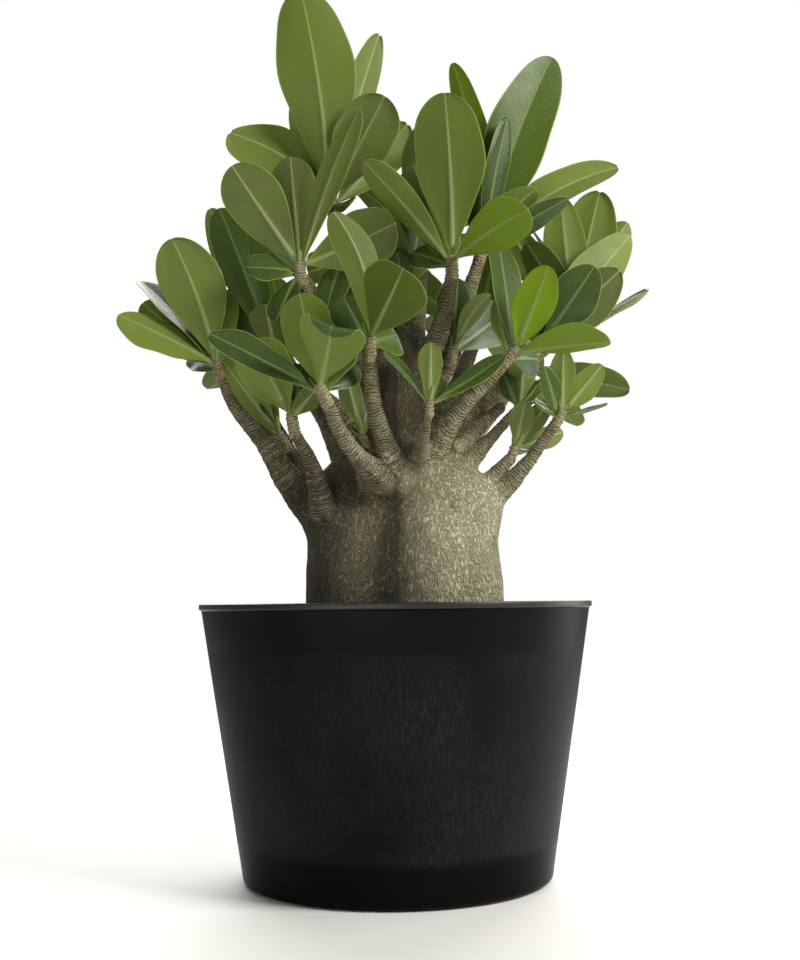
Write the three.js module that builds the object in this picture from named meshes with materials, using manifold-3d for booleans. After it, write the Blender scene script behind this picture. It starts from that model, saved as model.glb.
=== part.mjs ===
// A desert rose (adenium) in a black nursery pot, in millimetres, +Z up.
// The origin is the middle of the pot's flat base, and the plant's front looks along -Y.
// Pieces: the pot, its soil, the swollen trunk with all its branches, and a leaf rosette on each branch.

import * as THREE from 'three';
import { mergeVertices } from 'three/addons/utils/BufferGeometryUtils.js';
import Module from 'manifold-3d';

const wasm = await Module();
wasm.setup();

// Pot
const RIM_DIAMETER = 240;
const BASE_DIAMETER = 186;
const POT_HEIGHT = 166;
const POT_WALL = 2.4;
const POT_FLOOR = 3.2;
const BASE_CORNER = 5;
const LIP_HEIGHT = 3.5;
const LIP_PROUD = 0.9;
const LIP_ROUNDING = 0.8;
const POT_SIDES = 44;
const DRAIN_HOLES = 6;
const DRAIN_HOLE_DIAMETER = 12;
const DRAIN_HOLE_SIDES = 10;
const DRAIN_CIRCLE_DIAMETER = 128;

// Soil
const SOIL_BELOW_RIM = 16;
const SOIL_MOUND = 5;
const SOIL_PROFILE = [[1, 0], [0.82, 0.6], [0.5, 1]];
const SOIL_SIDES = 36;
const GAP = 0.3;
const HOLE_CLEARANCE = 0.5;

// Trunk: two lobes that meet in an upright groove, as oval sections [x, y, z, half width, half depth]
const LEFT_LOBE = [
  [-13, 6, 96, 18, 16],
  [-13, 6, 106, 32, 30],
  [-14, 6, 130, 40, 38],
  [-14, 6, 165, 42, 40],
  [-14, 5, 200, 40, 38],
  [-15, 3, 222, 40, 34],
  [-19, 1, 240, 31, 26],
  [-22, 0, 254, 16, 15],
];
const RIGHT_LOBE = [
  [25, -4, 92, 18, 18],
  [26, -5, 104, 30, 34],
  [26, -6, 130, 37, 44],
  [27, -7, 165, 39, 48],
  [27, -8, 200, 37, 46],
  [28, -8, 222, 37, 39],
  [25, -8, 242, 30, 29],
  [18, -7, 260, 17, 18],
];
const LOBE_SIDES = 16;

// The thick limb that rises from the trunk, and the bare stubs and twigs, as points [x, y, z, radius]
const LEADER = [[4, 0, 225, 27], [2, 2, 262, 22], [6, 4, 296, 18], [8, 6, 328, 11]];
const BARE_STEMS = [
  [[-14, -26, 228, 7], [-19, -37, 249, 5], [-19, -39, 256, 4.4]],
  [[38, -16, 260, 6.5], [58, -4, 278, 3.8], [68, -3, 287, 3.3]],
  [[22, 10, 262, 9], [38, 16, 290, 6], [64, 12, 314, 4.9], [70, 12, 318, 4.4]],
];
const STEM_SIDES = 6;
const THICK_STEM_SIDES = 10;
const THICK_STEM_RADIUS = 12;

// Leaves
const BLADE = 0.9;
const LEAF_BASE_HALF_WIDTH = 1.5;
const LEAF_TIP_SHARE = 0.3;
const LEAF_BASE_NARROWNESS = 1.2;
const LEAF_BASE_STEP = 0.12;
const LOWEST_LEAF_BASE = 0.6;
const LEAF_BASE_OUT = 0.5;
const FOLDED_LEAF_LENGTH = 72;
const LONG_LEAF_LENGTH = 45;
const LONG_LEAF_STEPS = [0, 0.3, 0.6, 0.86, 1];
const SHORT_LEAF_STEPS = [0, 0.4, 0.8, 1];
const SPOON = 0.66;
const OVAL = 0.54;
const SHOOT_SIDES = 6;
const SHOOT_PAST_LEAVES = 3;
const SHOOT_SIZES = [1, 1.02, 0.86, 0.4];

// Keeping neighbouring blades apart
const SPOT_ROWS = 8;
const SPOT_COLUMNS = [-0.9, -0.45, 0, 0.45, 0.9];
const BLADE_SPACING = 6.5;
const OWN_BLADE_SPACING = 4;
const OWN_FREE_ROWS = 3;
const STEM_SPACING = 2.5;
const LEAN_TRIES = [0, 6, -6, 12, -12, 18, -18, 24, -24, 30, -30, 38, -38, 46, -46];
const MOST_LEAN = 72;
const MOST_LENGTHENING = 1.2;

// Rosettes. A branch has points [x, y, z, radius] from inside the trunk to the shoot, and the tip is where
// the leaves meet. A leaf is [angle, lean, length, width, turn, bend, fold, sweep], in degrees and mm:
// angle is its direction seen from the front, from +X towards +Z, and lean is how far it comes forward.
// turn is 0 where the upper face looks to the front and 180 where the pale lower face does. bend curls the
// tip to the lower face, fold raises both halves from the midrib, and sweep bows the blade to one side.
const ROSETTES = [
  {
    name: 'rosette_left_outer',
    shape: SPOON,
    branch: [[-38, -6, 218, 19], [-62, -9, 239, 10.5], [-80, -13, 265, 5.4], [-97, -16, 286, 3.9],
      [-106, -16, 305, 3.2]],
    tip: [-109, -15, 315],
    leaves: [
      [109, 6, 80, 39, 180, 20, 8, 15],
      [153, 4, 66, 27, 215, -10, 10],
      [131, -18, 83, 34, 60, 15, 14],
      [137, -23, 76, 30, 190, 10, 8],
      [94, -24, 62, 26, 165, 10, 8],
    ],
  },
  {
    name: 'rosette_left_behind',
    shape: SPOON,
    branch: [[-45, 12, 234, 11], [-63, 22, 255, 6.6], [-82, 31, 288, 4.8], [-98, 35, 311, 4]],
    tip: [-106, 37, 330],
    leaves: [
      [85, -12, 46, 30, 20, 20, 8],
      [145, -42, 52, 28, 10, 15, 8],
      [38, -53, 37, 26, 20, 15, 8],
    ],
  },
  {
    name: 'rosette_left_low_front',
    shape: SPOON,
    branch: [[-42, -24, 222, 9], [-49, -40, 249, 4.4], [-58, -46, 266, 3.8]],
    tip: [-60, -48, 277],
    leaves: [
      [117, 12, 49, 33, 180, 10, 8],
      [45, 30, 22, 14, 190, 10, 8],
      [82, -19, 37, 24, 10, 10, 8],
    ],
  },
  {
    name: 'rosette_left_low_behind',
    shape: SPOON,
    branch: [[-44, 2, 230, 10], [-54, 2, 246, 5.6], [-66, 2, 262, 3.8]],
    tip: [-72, 2, 272],
    leaves: [
      [127, -8, 61, 24, 185, 10, 8],
      [123, -40, 47, 22, 170, 10, 8],
    ],
  },
  {
    name: 'rosette_left_middle',
    shape: SPOON,
    branch: [[-10, 5, 262, 12], [-30, 5, 282, 6.8], [-56, 10, 306, 4.8], [-70, 12, 319, 4]],
    tip: [-77, 12, 327],
    leaves: [
      [110, 0, 92, 30, 10, 20, 8],
      [114, -20, 118, 25, 170, 10, 8],
      [99, 40, 34, 24, 180, 15, 8],
      [120, -29, 61, 28, 10, 10, 8],
      [81, -12, 47, 24, 10, 10, 8],
    ],
  },
  {
    name: 'rosette_front_left',
    shape: SPOON,
    branch: [[0, -22, 234, 11], [-20, -56, 250, 5.6], [-31, -69, 265, 4.8], [-37, -75, 279, 4.1]],
    tip: [-42, -76, 289],
    leaves: [
      [71, 56, 58, 38, 180, 40, 10],
      [102, 5, 55, 30, 180, 10, 8],
      [152, 4, 70, 26, 40, 5, 14],
      [58, -36, 34, 26, 10, 10, 8],
    ],
  },
  {
    name: 'rosette_front_small',
    shape: SPOON,
    branch: [[0, -20, 238, 7.5], [-9, -36, 250, 3.4], [-15, -41, 258, 2.8]],
    tip: [-19, -42, 265],
    leaves: [
      [104, 24, 42, 15, 200, 10, 12],
      [80, -20, 30, 14, 10, 10, 8],
    ],
  },
  {
    name: 'rosette_front_middle',
    shape: SPOON,
    branch: [[6, -20, 236, 12], [-4, -46, 258, 6.1], [-11, -62, 280, 4.9], [-13, -69, 306, 4.3]],
    tip: [-13, -70, 318],
    leaves: [
      [57, 51, 55, 39, 180, 25, 10],
      [105, 12, 75, 25, 205, 15, 10, 60],
      [38, -62, 40, 26, 10, 10, 8],
      [114, -38, 49, 30, 10, 10, 8],
    ],
  },
  {
    name: 'rosette_front_right_small',
    shape: SPOON,
    branch: [[13, -26, 244, 8], [18, -54, 262, 3.5], [21, -66, 274, 2.8]],
    tip: [21, -68, 282],
    leaves: [
      [88, 18, 33, 14, 180, 5, 8],
      [132, 8, 38, 13, 60, 10, 14],
      [33, -6, 52, 16, 320, -15, 12],
      [71, -41, 27, 12, 10, 5, 8],
    ],
  },
  {
    name: 'rosette_front_right',
    shape: OVAL,
    branch: [[14, -22, 242, 13], [37, -42, 276, 5.6], [55, -48, 295, 4.6], [66, -51, 306, 3.9]],
    tip: [73.5, -52, 313],
    leaves: [
      [68, 8, 52, 25, 180, 10, 6],
      [2, 23, 56, 26, 235, 10, 28],
      [94, -22, 83, 27, 40, 5, 12],
      [86, -26, 66, 20, 160, 5, 10],
      [101, -19, 37, 12, 200, 10, 8],
      [16, -60, 41, 24, 10, 10, 8],
    ],
  },
  {
    name: 'rosette_top_middle',
    shape: SPOON,
    branch: [[6, 4, 296, 13], [24, -8, 321, 7.6], [33, -14, 346, 5.6], [37, -20, 366, 4.3]],
    tip: [37, -22, 377],
    leaves: [
      [92, 8, 100, 44, 180, 12, 6, 8],
      [17, 38, 62, 30, 200, 10, 8, -12],
      [132, 14, 80, 23, 140, 15, 8],
      [108, -12, 74, 36, 175, 10, 8],
      [152, -26, 28, 22, 20, 20, 8],
    ],
  },
  {
    name: 'rosette_top_right',
    shape: OVAL,
    branch: [[8, 10, 280, 14], [38, 18, 330, 8], [50, 18, 366, 4.9], [57, 20, 387, 4.1]],
    tip: [61, 20, 397],
    leaves: [
      [70, -6, 139, 42, 12, 10, 6, 16],
      [98, -5, 128, 23, 150, 10, 8, 14],
      [79, 5, 85, 21, 40, 5, 12, 14],
      [32, -3, 104, 26, 220, 8, 20, -38],
      [47, 19, 51, 24, 215, 10, 8, -30],
      [31, 9, 63, 20, 50, 10, 10, 25],
      [86, -15, 95, 32, 175, 10, 8],
    ],
  },
  {
    name: 'rosette_top_left',
    shape: SPOON,
    branch: [[4, 4, 312, 11], [-24, 0, 337, 6.4], [-48, -12, 353, 4.8], [-56, -17, 364, 4.1]],
    tip: [-57, -18, 375],
    leaves: [
      [124, 13, 71, 36, 180, 12, 6],
      [20, 16, 64, 38, 180, 25, 8],
      [95, -9, 76, 32, 180, 8, 6],
      [69, 8, 104, 22, 150, 8, 10, -20],
      [179, 18, 32, 28, 40, 15, 10],
      [-112, 19, 37, 20, 20, 15, 8],
      [128, -36, 51, 34, 10, 10, 8],
    ],
  },
  {
    name: 'rosette_crown',
    shape: SPOON,
    branch: [[6, 10, 318, 12], [-14, 20, 372, 6], [-32, 19, 404, 4.7], [-37, 17, 416, 4.2]],
    tip: [-41, 14, 427],
    leaves: [
      [97, 6, 134, 50, 180, 10, 6, 12],
      [60, 11, 73, 40, 180, 12, 6],
      [143, -4, 80, 42, 200, 10, 8, 55],
      [76, -13, 132, 28, 230, 8, 8],
      [101, -18, 100, 32, 185, 10, 8],
      [53, -20, 86, 30, 185, 15, 8],
      [-10, 55, 24, 14, 150, 30, 8],
      [157, -18, 80, 18, 170, 8, 8],
    ],
  },
  {
    name: 'rosette_inner_left',
    shape: SPOON,
    branch: [[-2, -2, 316, 9], [-22, -7, 358, 4.5], [-27, -7, 373, 3.9]],
    tip: [-29, -6, 382],
    leaves: [
      [-105, 8, 36, 22, 20, 20, 8],
      [-158, 29, 27, 22, 160, 15, 8],
      [-100, -14, 30, 18, 20, 10, 8],
    ],
  },
  {
    name: 'rosette_inner_middle',
    shape: SPOON,
    branch: [[8, 6, 322, 9.5], [7, 12, 354, 4.4]],
    tip: [6, 12, 365],
    leaves: [
      [87, -8, 68, 28, 180, 8, 8],
      [97, 53, 38, 22, 10, 20, 8],
      [77, 10, 56, 32, 30, 25, 8],
      [108, -20, 53, 28, 170, 10, 8],
    ],
  },
  {
    name: 'rosette_inner_right',
    shape: SPOON,
    branch: [[14, 4, 288, 10], [33, -1, 308, 4.4], [36, -3, 315, 3.9]],
    tip: [38, -4, 324],
    leaves: [
      [56, 16, 42, 14, 215, 20, 10, -28],
      [85, -5, 48, 26, 15, 5, 8],
      [42, -12, 48, 30, 10, 10, 8],
    ],
  },
  {
    name: 'rosette_right_middle',
    shape: OVAL,
    branch: [[14, -8, 254, 14], [54, 0, 292, 6.6], [80, 5, 314, 4.8], [90, 6, 323, 4]],
    tip: [97, 6, 331],
    leaves: [
      [55, 12, 54, 30, 5, 18, 6],
      [43, -6, 68, 32, 180, 10, 6],
      [51, -19, 106, 34, 200, 8, 6],
      [30, -24, 94, 26, 110, 10, 8],
      [109, -29, 41, 26, 20, 10, 8],
    ],
  },
  {
    name: 'rosette_right_outer',
    shape: OVAL,
    branch: [[34, 8, 274, 9], [64, 20, 304, 5.6], [97, 30, 328, 4.6], [113, 35, 349, 3.9]],
    tip: [119, 36, 359],
    leaves: [
      [75, -2, 82, 38, 180, 8, 6],
      [94, 5, 74, 28, 180, 8, 8],
      [109, 7, 64, 22, 80, 5, 12],
      [108, 14, 57, 26, 215, 15, 8],
      [121, 13, 53, 26, 145, 10, 8],
      [122, -7, 80, 24, 180, 8, 8],
      [57, -21, 90, 28, 185, 8, 8],
    ],
  },
  {
    name: 'rosette_right_low',
    shape: SPOON,
    branch: [[34, -14, 238, 8], [59, -10, 265, 3.8], [70, -8, 277, 3.3]],
    tip: [79, -8, 286],
    leaves: [
      [84, 10, 36, 18, 180, 5, 8],
      [115, -21, 22, 14, 10, 10, 8],
      [50, -19, 28, 14, 130, 10, 8],
      [9, -24, 33, 13, 70, 15, 10],
    ],
  },
  {
    name: 'rosette_right_twig',
    shape: SPOON,
    branch: [[46, -14, 226, 8.5], [62, -15, 244, 3.8], [72, -17, 254, 3.2]],
    tip: [74, -18, 260],
    leaves: [
      [76, 12, 28, 15, 180, 8, 8],
      [22, -38, 44, 14, 180, 5, 8],
      [54, -20, 40, 13, 180, 8, 8],
      [5, -23, 15, 10, 80, 10, 8],
    ],
  },
  {
    name: 'rosette_right_low_outer',
    shape: OVAL,
    branch: [[44, -8, 212, 16], [61, -12, 228, 7.6], [77, -16, 244, 4.5], [92, -21, 264, 3.9],
      [98, -23, 272, 3.6]],
    tip: [103, -24, 280],
    leaves: [
      [88, 8, 38, 16, 180, 5, 8],
      [50, -6, 40, 17, 180, 8, 8],
      [14, 4, 28, 14, 85, 5, 8],
      [108, -25, 33, 14, 20, 8, 8],
      [150, 20, 18, 12, 60, 10, 8],
    ],
  },
];

// Rosettes at the back, with leaves set by rule round the branch's end
const BACK_ROSETTES = [
  { branch: [[-20, 18, 238, 14], [-44, 46, 284, 6.4], [-69, 70, 326, 4.4]], tip: [-74, 76, 336], leaves: 5 },
  { branch: [[-4, 16, 268, 12], [-20, 60, 314, 6.4], [-29, 98, 358, 4.4]], tip: [-30, 104, 368], leaves: 5 },
  { branch: [[8, 12, 290, 12], [16, 40, 348, 6], [20, 60, 403, 4.4]], tip: [20, 63, 414], leaves: 5 },
  { branch: [[20, 12, 268, 12], [42, 56, 308, 6.4], [57, 88, 348, 4.4]], tip: [60, 93, 358], leaves: 5 },
  { branch: [[24, 16, 240, 13], [56, 44, 280, 6.4], [82, 64, 314, 4.4]], tip: [87, 68, 324], leaves: 5 },
  { branch: [[0, 22, 240, 13], [0, 64, 268, 6], [0, 100, 299, 4.4]], tip: [0, 107, 308], leaves: 6 },
];
const GOLDEN_ANGLE = 137.5;
const RULE_LEAF_LENGTH = [58, 82];
const RULE_LEAF_SPREAD = [38, 74];
const RULE_LEAF_SLENDERNESS = 0.46;
const RULE_LEAF_BEND = [5, 25];
const RULE_LEAF_FOLD = 8;
const HIDDEN_LEAF_LENGTH = 57;
const HIDDEN_LEAF_SIZE = 0.85;
const HIDDEN_LEAF_LEAN = [-62, -40];
const HIDDEN_LEAF_TURN = [-20, 20];
const HIDDEN_LEAF_ASIDE = 12;

// One seeded draw after another, the same on every run
let drawState = 77;
function draw([low, high]) {
  drawState = (drawState * 16807) % 2147483647;
  return low + (high - low) * (drawState / 2147483647);
}

// From a three.js geometry to a closed solid, with faces that point out
function toSolid(geometry) {
  const bare = geometry.clone();
  bare.deleteAttribute('normal');
  bare.deleteAttribute('uv');
  const merged = mergeVertices(bare, 1e-4);
  const vertProperties = new Float32Array(merged.attributes.position.array);
  const corner = (i) => new THREE.Vector3().fromArray(vertProperties, 3 * i);
  const triangles = [];
  let volume = 0;
  for (let i = 0; i < merged.index.count; i += 3) {
    const [a, b, c] = [0, 1, 2].map((k) => merged.index.getX(i + k));
    if (a === b || b === c || c === a) continue;
    triangles.push([a, b, c]);
    volume += corner(a).dot(corner(b).cross(corner(c)));
  }
  const outward = volume > 0 ? triangles : triangles.map(([a, b, c]) => [a, c, b]);
  return new wasm.Manifold(new wasm.Mesh({
    numProp: 3,
    vertProperties,
    triVerts: new Uint32Array(outward.flat()),
  }));
}

function toGeometry(solid) {
  const mesh = solid.getMesh();
  const geometry = new THREE.BufferGeometry();
  geometry.setAttribute('position', new THREE.BufferAttribute(new Float32Array(mesh.vertProperties), 3));
  geometry.setIndex(new THREE.BufferAttribute(new Uint32Array(mesh.triVerts), 1));
  geometry.computeVertexNormals();
  return geometry;
}

// A skin through rings of points, closed at both ends. crossed(side) gives the sides split the other way.
function skin(rings, crossed = () => false) {
  const sides = rings[0].length;
  const index = [];
  for (let ring = 0; ring + 1 < rings.length; ring += 1) {
    for (let side = 0; side < sides; side += 1) {
      const a = ring * sides + side;
      const b = ring * sides + (side + 1) % sides;
      const c = b + sides;
      const d = a + sides;
      index.push(...(crossed(side) ? [a, b, d, b, c, d] : [a, b, c, a, c, d]));
    }
  }
  const last = (rings.length - 1) * sides;
  for (let side = 2; side < sides; side += 1) {
    const next = (side + 1) % sides;
    index.push(1, next, side, last + 1, last + side, last + next);
  }
  const geometry = new THREE.BufferGeometry().setFromPoints(rings.flat());
  geometry.setIndex(index);
  return geometry;
}

// One body out of several that meet, with what fusing seals inside filled
function fuse(solids) {
  const sum = solids.reduce((total, solid) => total.add(solid));
  return sum.decompose().reduce((body, other) => (other.volume() > body.volume() ? other : body));
}

function lathe(profile, sides) {
  const points = profile.map(([radius, height]) => new THREE.Vector2(radius, height));
  return new THREE.LatheGeometry(points, sides).rotateX(Math.PI / 2);
}

// Outer radius of the pot's tapered wall at a height
function wallRadius(height) {
  const rim = RIM_DIAMETER / 2 - LIP_PROUD;
  return THREE.MathUtils.mapLinear(height, 0, POT_HEIGHT, BASE_DIAMETER / 2, rim);
}

function potSolid() {
  const lipFoot = POT_HEIGHT - LIP_HEIGHT;
  const rim = RIM_DIAMETER / 2;
  const centre = wallRadius(BASE_CORNER) - BASE_CORNER;
  const corner = [0, 30, 60, 90].map((degrees) => {
    const turn = THREE.MathUtils.degToRad(degrees);
    return [centre + BASE_CORNER * Math.sin(turn), BASE_CORNER * (1 - Math.cos(turn))];
  });
  const shell = toSolid(lathe([
    [0, 0],
    ...corner,
    [wallRadius(lipFoot), lipFoot],
    [rim, lipFoot + LIP_ROUNDING],
    [rim, POT_HEIGHT - LIP_ROUNDING],
    [rim - LIP_ROUNDING, POT_HEIGHT],
    [rim - LIP_PROUD - POT_WALL, POT_HEIGHT],
    [wallRadius(POT_FLOOR) - POT_WALL, POT_FLOOR],
    [0, POT_FLOOR],
  ], POT_SIDES));
  const holes = Array.from({ length: DRAIN_HOLES }, (unused, i) => {
    const turn = (i / DRAIN_HOLES) * 2 * Math.PI;
    const radius = DRAIN_HOLE_DIAMETER / 2;
    const reach = DRAIN_CIRCLE_DIAMETER / 2;
    const hole = new THREE.CylinderGeometry(radius, radius, 3 * POT_FLOOR, DRAIN_HOLE_SIDES);
    hole.rotateX(Math.PI / 2);
    hole.translate(reach * Math.cos(turn), reach * Math.sin(turn), POT_FLOOR / 2);
    return toSolid(hole);
  });
  return holes.reduce((rest, hole) => rest.subtract(hole), shell);
}

// An upright lobe of the trunk, grown on all sides by clearance
function lobe(sections, clearance = 0) {
  const rings = sections.map(([x, y, z, halfWidth, halfDepth], row) => {
    const height = row === 0 ? z - clearance : z;
    return Array.from({ length: LOBE_SIDES }, (unused, side) => {
      const turn = (side / LOBE_SIDES) * 2 * Math.PI;
      return new THREE.Vector3(
        x + (halfWidth + clearance) * Math.cos(turn),
        y + (halfDepth + clearance) * Math.sin(turn),
        height,
      );
    });
  });
  return toSolid(skin(rings));
}

function soilSolid() {
  const bottom = POT_FLOOR + GAP;
  const top = POT_HEIGHT - SOIL_BELOW_RIM;
  const inner = (height) => wallRadius(height) - POT_WALL - GAP;
  const fill = toSolid(lathe([
    [0, bottom],
    [inner(bottom), bottom],
    ...SOIL_PROFILE.map(([out, rise]) => [out * inner(top), top + rise * SOIL_MOUND]),
    [0, top + SOIL_MOUND],
  ], SOIL_SIDES));
  return fill.subtract(lobe(LEFT_LOBE, HOLE_CLEARANCE)).subtract(lobe(RIGHT_LOBE, HOLE_CLEARANCE));
}

// A stem's rings of points along a smooth curve, each with its centre and radius
function stemRings(points) {
  const centres = points.map(([x, y, z]) => new THREE.Vector3(x, y, z));
  const curve = new THREE.CatmullRomCurve3(centres, false, 'catmullrom', 0.5);
  const perSpan = points.length > 3 ? 1 : 2;
  const count = perSpan * (points.length - 1);
  return Array.from({ length: count + 1 }, (unused, i) => {
    const along = i / perSpan;
    const before = Math.min(Math.floor(along), points.length - 2);
    return {
      centre: curve.getPoint(i / count),
      tangent: curve.getTangent(i / count),
      radius: THREE.MathUtils.lerp(points[before][3], points[before + 1][3], along - before),
    };
  });
}

function stemSolid(points) {
  const rings = stemRings(points);
  const sides = rings[0].radius > THICK_STEM_RADIUS ? THICK_STEM_SIDES : STEM_SIDES;
  const across = new THREE.Vector3(0, 1, 0);
  return toSolid(skin(rings.map(({ centre, tangent, radius }) => {
    across.addScaledVector(tangent, -across.dot(tangent)).normalize();
    const up = new THREE.Vector3().crossVectors(tangent, across);
    return Array.from({ length: sides }, (unused, side) => {
      const turn = (side / sides) * 2 * Math.PI;
      return centre.clone()
        .addScaledVector(across, radius * Math.cos(turn))
        .addScaledVector(up, radius * Math.sin(turn));
    });
  })));
}

// Half of a leaf's width at a share of its length: a narrow base, and a blunt tip past the widest place
function halfWidth(leaf, share) {
  const past = (share - leaf.shape) / (1 - leaf.shape);
  const swell = past > 0
    ? Math.sqrt(1 - past * past)
    : Math.sin((Math.PI / 2) * (share / leaf.shape)) ** LEAF_BASE_NARROWNESS;
  const tip = share === 1 ? LEAF_TIP_SHARE : 0;
  return Math.max(LEAF_BASE_HALF_WIDTH * (1 - share), (leaf.width / 2) * Math.max(swell, tip));
}

// A point on a leaf's middle surface, at a share of its length and half width, and its upper side's direction
function bladePoint(leaf, share, across) {
  const { direction, side, upper } = leaf.axes;
  const bow = 2 * leaf.length * Math.tan(leaf.bend / 4);
  const swing = 2 * leaf.length * Math.tan(leaf.sweep / 4);
  const slope = bow * (1 - 2 * share) / leaf.length;
  const lift = upper.clone().addScaledVector(direction, -slope).normalize();
  const reach = across * halfWidth(leaf, share);
  const point = leaf.base.clone()
    .addScaledVector(direction, share * leaf.length)
    .addScaledVector(upper, bow * share * (1 - share))
    .addScaledVector(side, swing * share * (1 - share) + reach * Math.cos(leaf.fold))
    .addScaledVector(lift, Math.abs(reach) * Math.sin(leaf.fold));
  return { point, lift };
}

function leafSolid(leaf) {
  const steps = leaf.length > LONG_LEAF_LENGTH ? LONG_LEAF_STEPS : SHORT_LEAF_STEPS;
  const folded = leaf.length > FOLDED_LEAF_LENGTH;
  const face = (share, across, height) => {
    const { point, lift } = bladePoint(leaf, share, across);
    return point.addScaledVector(lift, height);
  };
  const places = folded ? [-1, 0, 1] : [-1, 1];
  const rings = steps.map((share) => [
    ...places.map((across) => face(share, across, BLADE / 2)),
    ...places.toReversed().map((across) => face(share, across, -BLADE / 2)),
  ]);
  return toSolid(skin(rings, (side) => side >= places.length && side < 2 * places.length - 1));
}

// A leaf's own axes, from its direction seen from the front, its lean to the front and its turn
function leafAxes(angle, lean, turn) {
  const direction = new THREE.Vector3(
    Math.cos(lean) * Math.cos(angle),
    -Math.sin(lean),
    Math.cos(lean) * Math.sin(angle),
  );
  const front = new THREE.Vector3(0, -1, 0);
  front.addScaledVector(direction, -front.dot(direction)).normalize();
  const beside = new THREE.Vector3().crossVectors(direction, front);
  const upper = front.multiplyScalar(Math.cos(turn)).addScaledVector(beside, Math.sin(turn));
  const side = new THREE.Vector3().crossVectors(upper, direction);
  return { direction, upper, side };
}

// A leaf with another lean, as long as before when seen from the front
function leaned(leaf, extra) {
  const most = THREE.MathUtils.degToRad(MOST_LEAN);
  const lean = THREE.MathUtils.clamp(leaf.lean + THREE.MathUtils.degToRad(extra), -most, most);
  const length = extra === 0 ? leaf.length : Math.min(
    leaf.length * Math.cos(leaf.lean) / Math.cos(lean),
    MOST_LENGTHENING * leaf.length,
  );
  return { ...leaf, lean, length, axes: leafAxes(leaf.angle, lean, leaf.turn) };
}

function leafSpots(leaf) {
  const spots = [];
  for (let row = 1; row <= SPOT_ROWS; row += 1) {
    for (const across of SPOT_COLUMNS) {
      spots.push(bladePoint(leaf, row / SPOT_ROWS, across).point);
    }
  }
  return spots;
}

// How far a leaf's spots stay from the leaves of other rosettes and from stems, as a share of what they need
function roomShare(leaf, spots, placed, stems) {
  let room = 1;
  for (const other of placed) {
    if (other.leaf.base.distanceTo(leaf.base) > other.leaf.length + leaf.length + BLADE_SPACING) continue;
    const own = other.rosette === leaf.rosette;
    const spacing = own ? OWN_BLADE_SPACING : BLADE_SPACING;
    const first = own ? OWN_FREE_ROWS * SPOT_COLUMNS.length : 0;
    for (const spot of spots.slice(first)) {
      for (const otherSpot of other.spots.slice(first)) {
        room = Math.min(room, spot.distanceTo(otherSpot) / spacing);
      }
    }
  }
  for (const stem of stems) {
    if (stem.shoot && stem.rosette === leaf.rosette) continue;
    const first = stem.rosette === leaf.rosette ? SPOT_COLUMNS.length : 0;
    for (const { line, radius } of stem.pieces) {
      for (const spot of spots.slice(first)) {
        const nearest = line.closestPointToPoint(spot, true, new THREE.Vector3());
        room = Math.min(room, (nearest.distanceTo(spot) - radius) / STEM_SPACING);
      }
    }
  }
  return room;
}

// The first lean that leaves room all round, or else the one that leaves most
function placeLeaf(leaf, placed, stems) {
  let best = null;
  for (const extra of LEAN_TRIES) {
    const tried = leaned(leaf, extra);
    const spots = leafSpots(tried);
    const room = roomShare(tried, spots, placed, stems);
    if (best === null || room > best.room) {
      best = { rosette: leaf.rosette, leaf: tried, spots, room };
    }
    if (room >= 1) break;
  }
  placed.push(best);
}

// The shoot at a branch's end, from its foot, a gap away from the branch, to its point past the leaves
function shootLine(rosette) {
  const [x, y, z, radius] = rosette.branch.at(-1);
  const end = new THREE.Vector3(x, y, z);
  const tangent = stemRings(rosette.branch).at(-1).tangent;
  const tip = new THREE.Vector3(...rosette.tip);
  return { foot: end.addScaledVector(tangent, GAP), tangent, tip, radius };
}

function shootSolid({ foot, tangent, tip, radius }) {
  const along = tip.clone().sub(foot);
  const shares = [0, 0.5, 1, 1 + SHOOT_PAST_LEAVES / along.length()];
  const across = new THREE.Vector3(0, 1, 0);
  return toSolid(skin(shares.map((share, i) => {
    const size = SHOOT_SIZES[i];
    const facing = share === 0 ? tangent : along.clone().normalize();
    across.addScaledVector(facing, -across.dot(facing)).normalize();
    const up = new THREE.Vector3().crossVectors(facing, across);
    return Array.from({ length: SHOOT_SIDES }, (unused, side) => {
      const turn = (side / SHOOT_SIDES) * 2 * Math.PI;
      return foot.clone()
        .addScaledVector(along, share)
        .addScaledVector(across, size * radius * Math.cos(turn))
        .addScaledVector(up, size * radius * Math.sin(turn));
    });
  })));
}

// A leaf from its numbers, with its base on the shoot
function makeLeaf(rosette, shoot, [angle, lean, length, width, turn, bend, fold, sweep = 0], order) {
  const rad = THREE.MathUtils.degToRad;
  const down = shoot.foot.clone().sub(shoot.tip);
  const out = leafAxes(rad(angle), rad(lean), 0).direction;
  out.addScaledVector(down, -out.dot(down) / down.lengthSq())
    .multiplyScalar(LEAF_BASE_OUT * shoot.radius);
  return {
    rosette: rosette.name,
    shape: rosette.shape,
    base: shoot.tip.clone()
      .addScaledVector(down, Math.min(LEAF_BASE_STEP * order, LOWEST_LEAF_BASE))
      .add(out),
    angle: rad(angle),
    lean: rad(lean),
    turn: rad(turn),
    bend: rad(bend),
    fold: rad(fold),
    sweep: rad(sweep),
    length,
    width,
  };
}

// A leaf on the far side of each large rosette, behind its first one as seen from the front
function leavesBehind(rosette) {
  const [angle, , length, width] = rosette.leaves[0];
  if (length < HIDDEN_LEAF_LENGTH) {
    return [];
  }
  return [[
    angle + HIDDEN_LEAF_ASIDE,
    draw(HIDDEN_LEAF_LEAN),
    Math.min(HIDDEN_LEAF_SIZE * length, RULE_LEAF_LENGTH[1]),
    HIDDEN_LEAF_SIZE * width,
    draw(HIDDEN_LEAF_TURN),
    draw(RULE_LEAF_BEND),
    RULE_LEAF_FOLD,
  ]];
}

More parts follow.
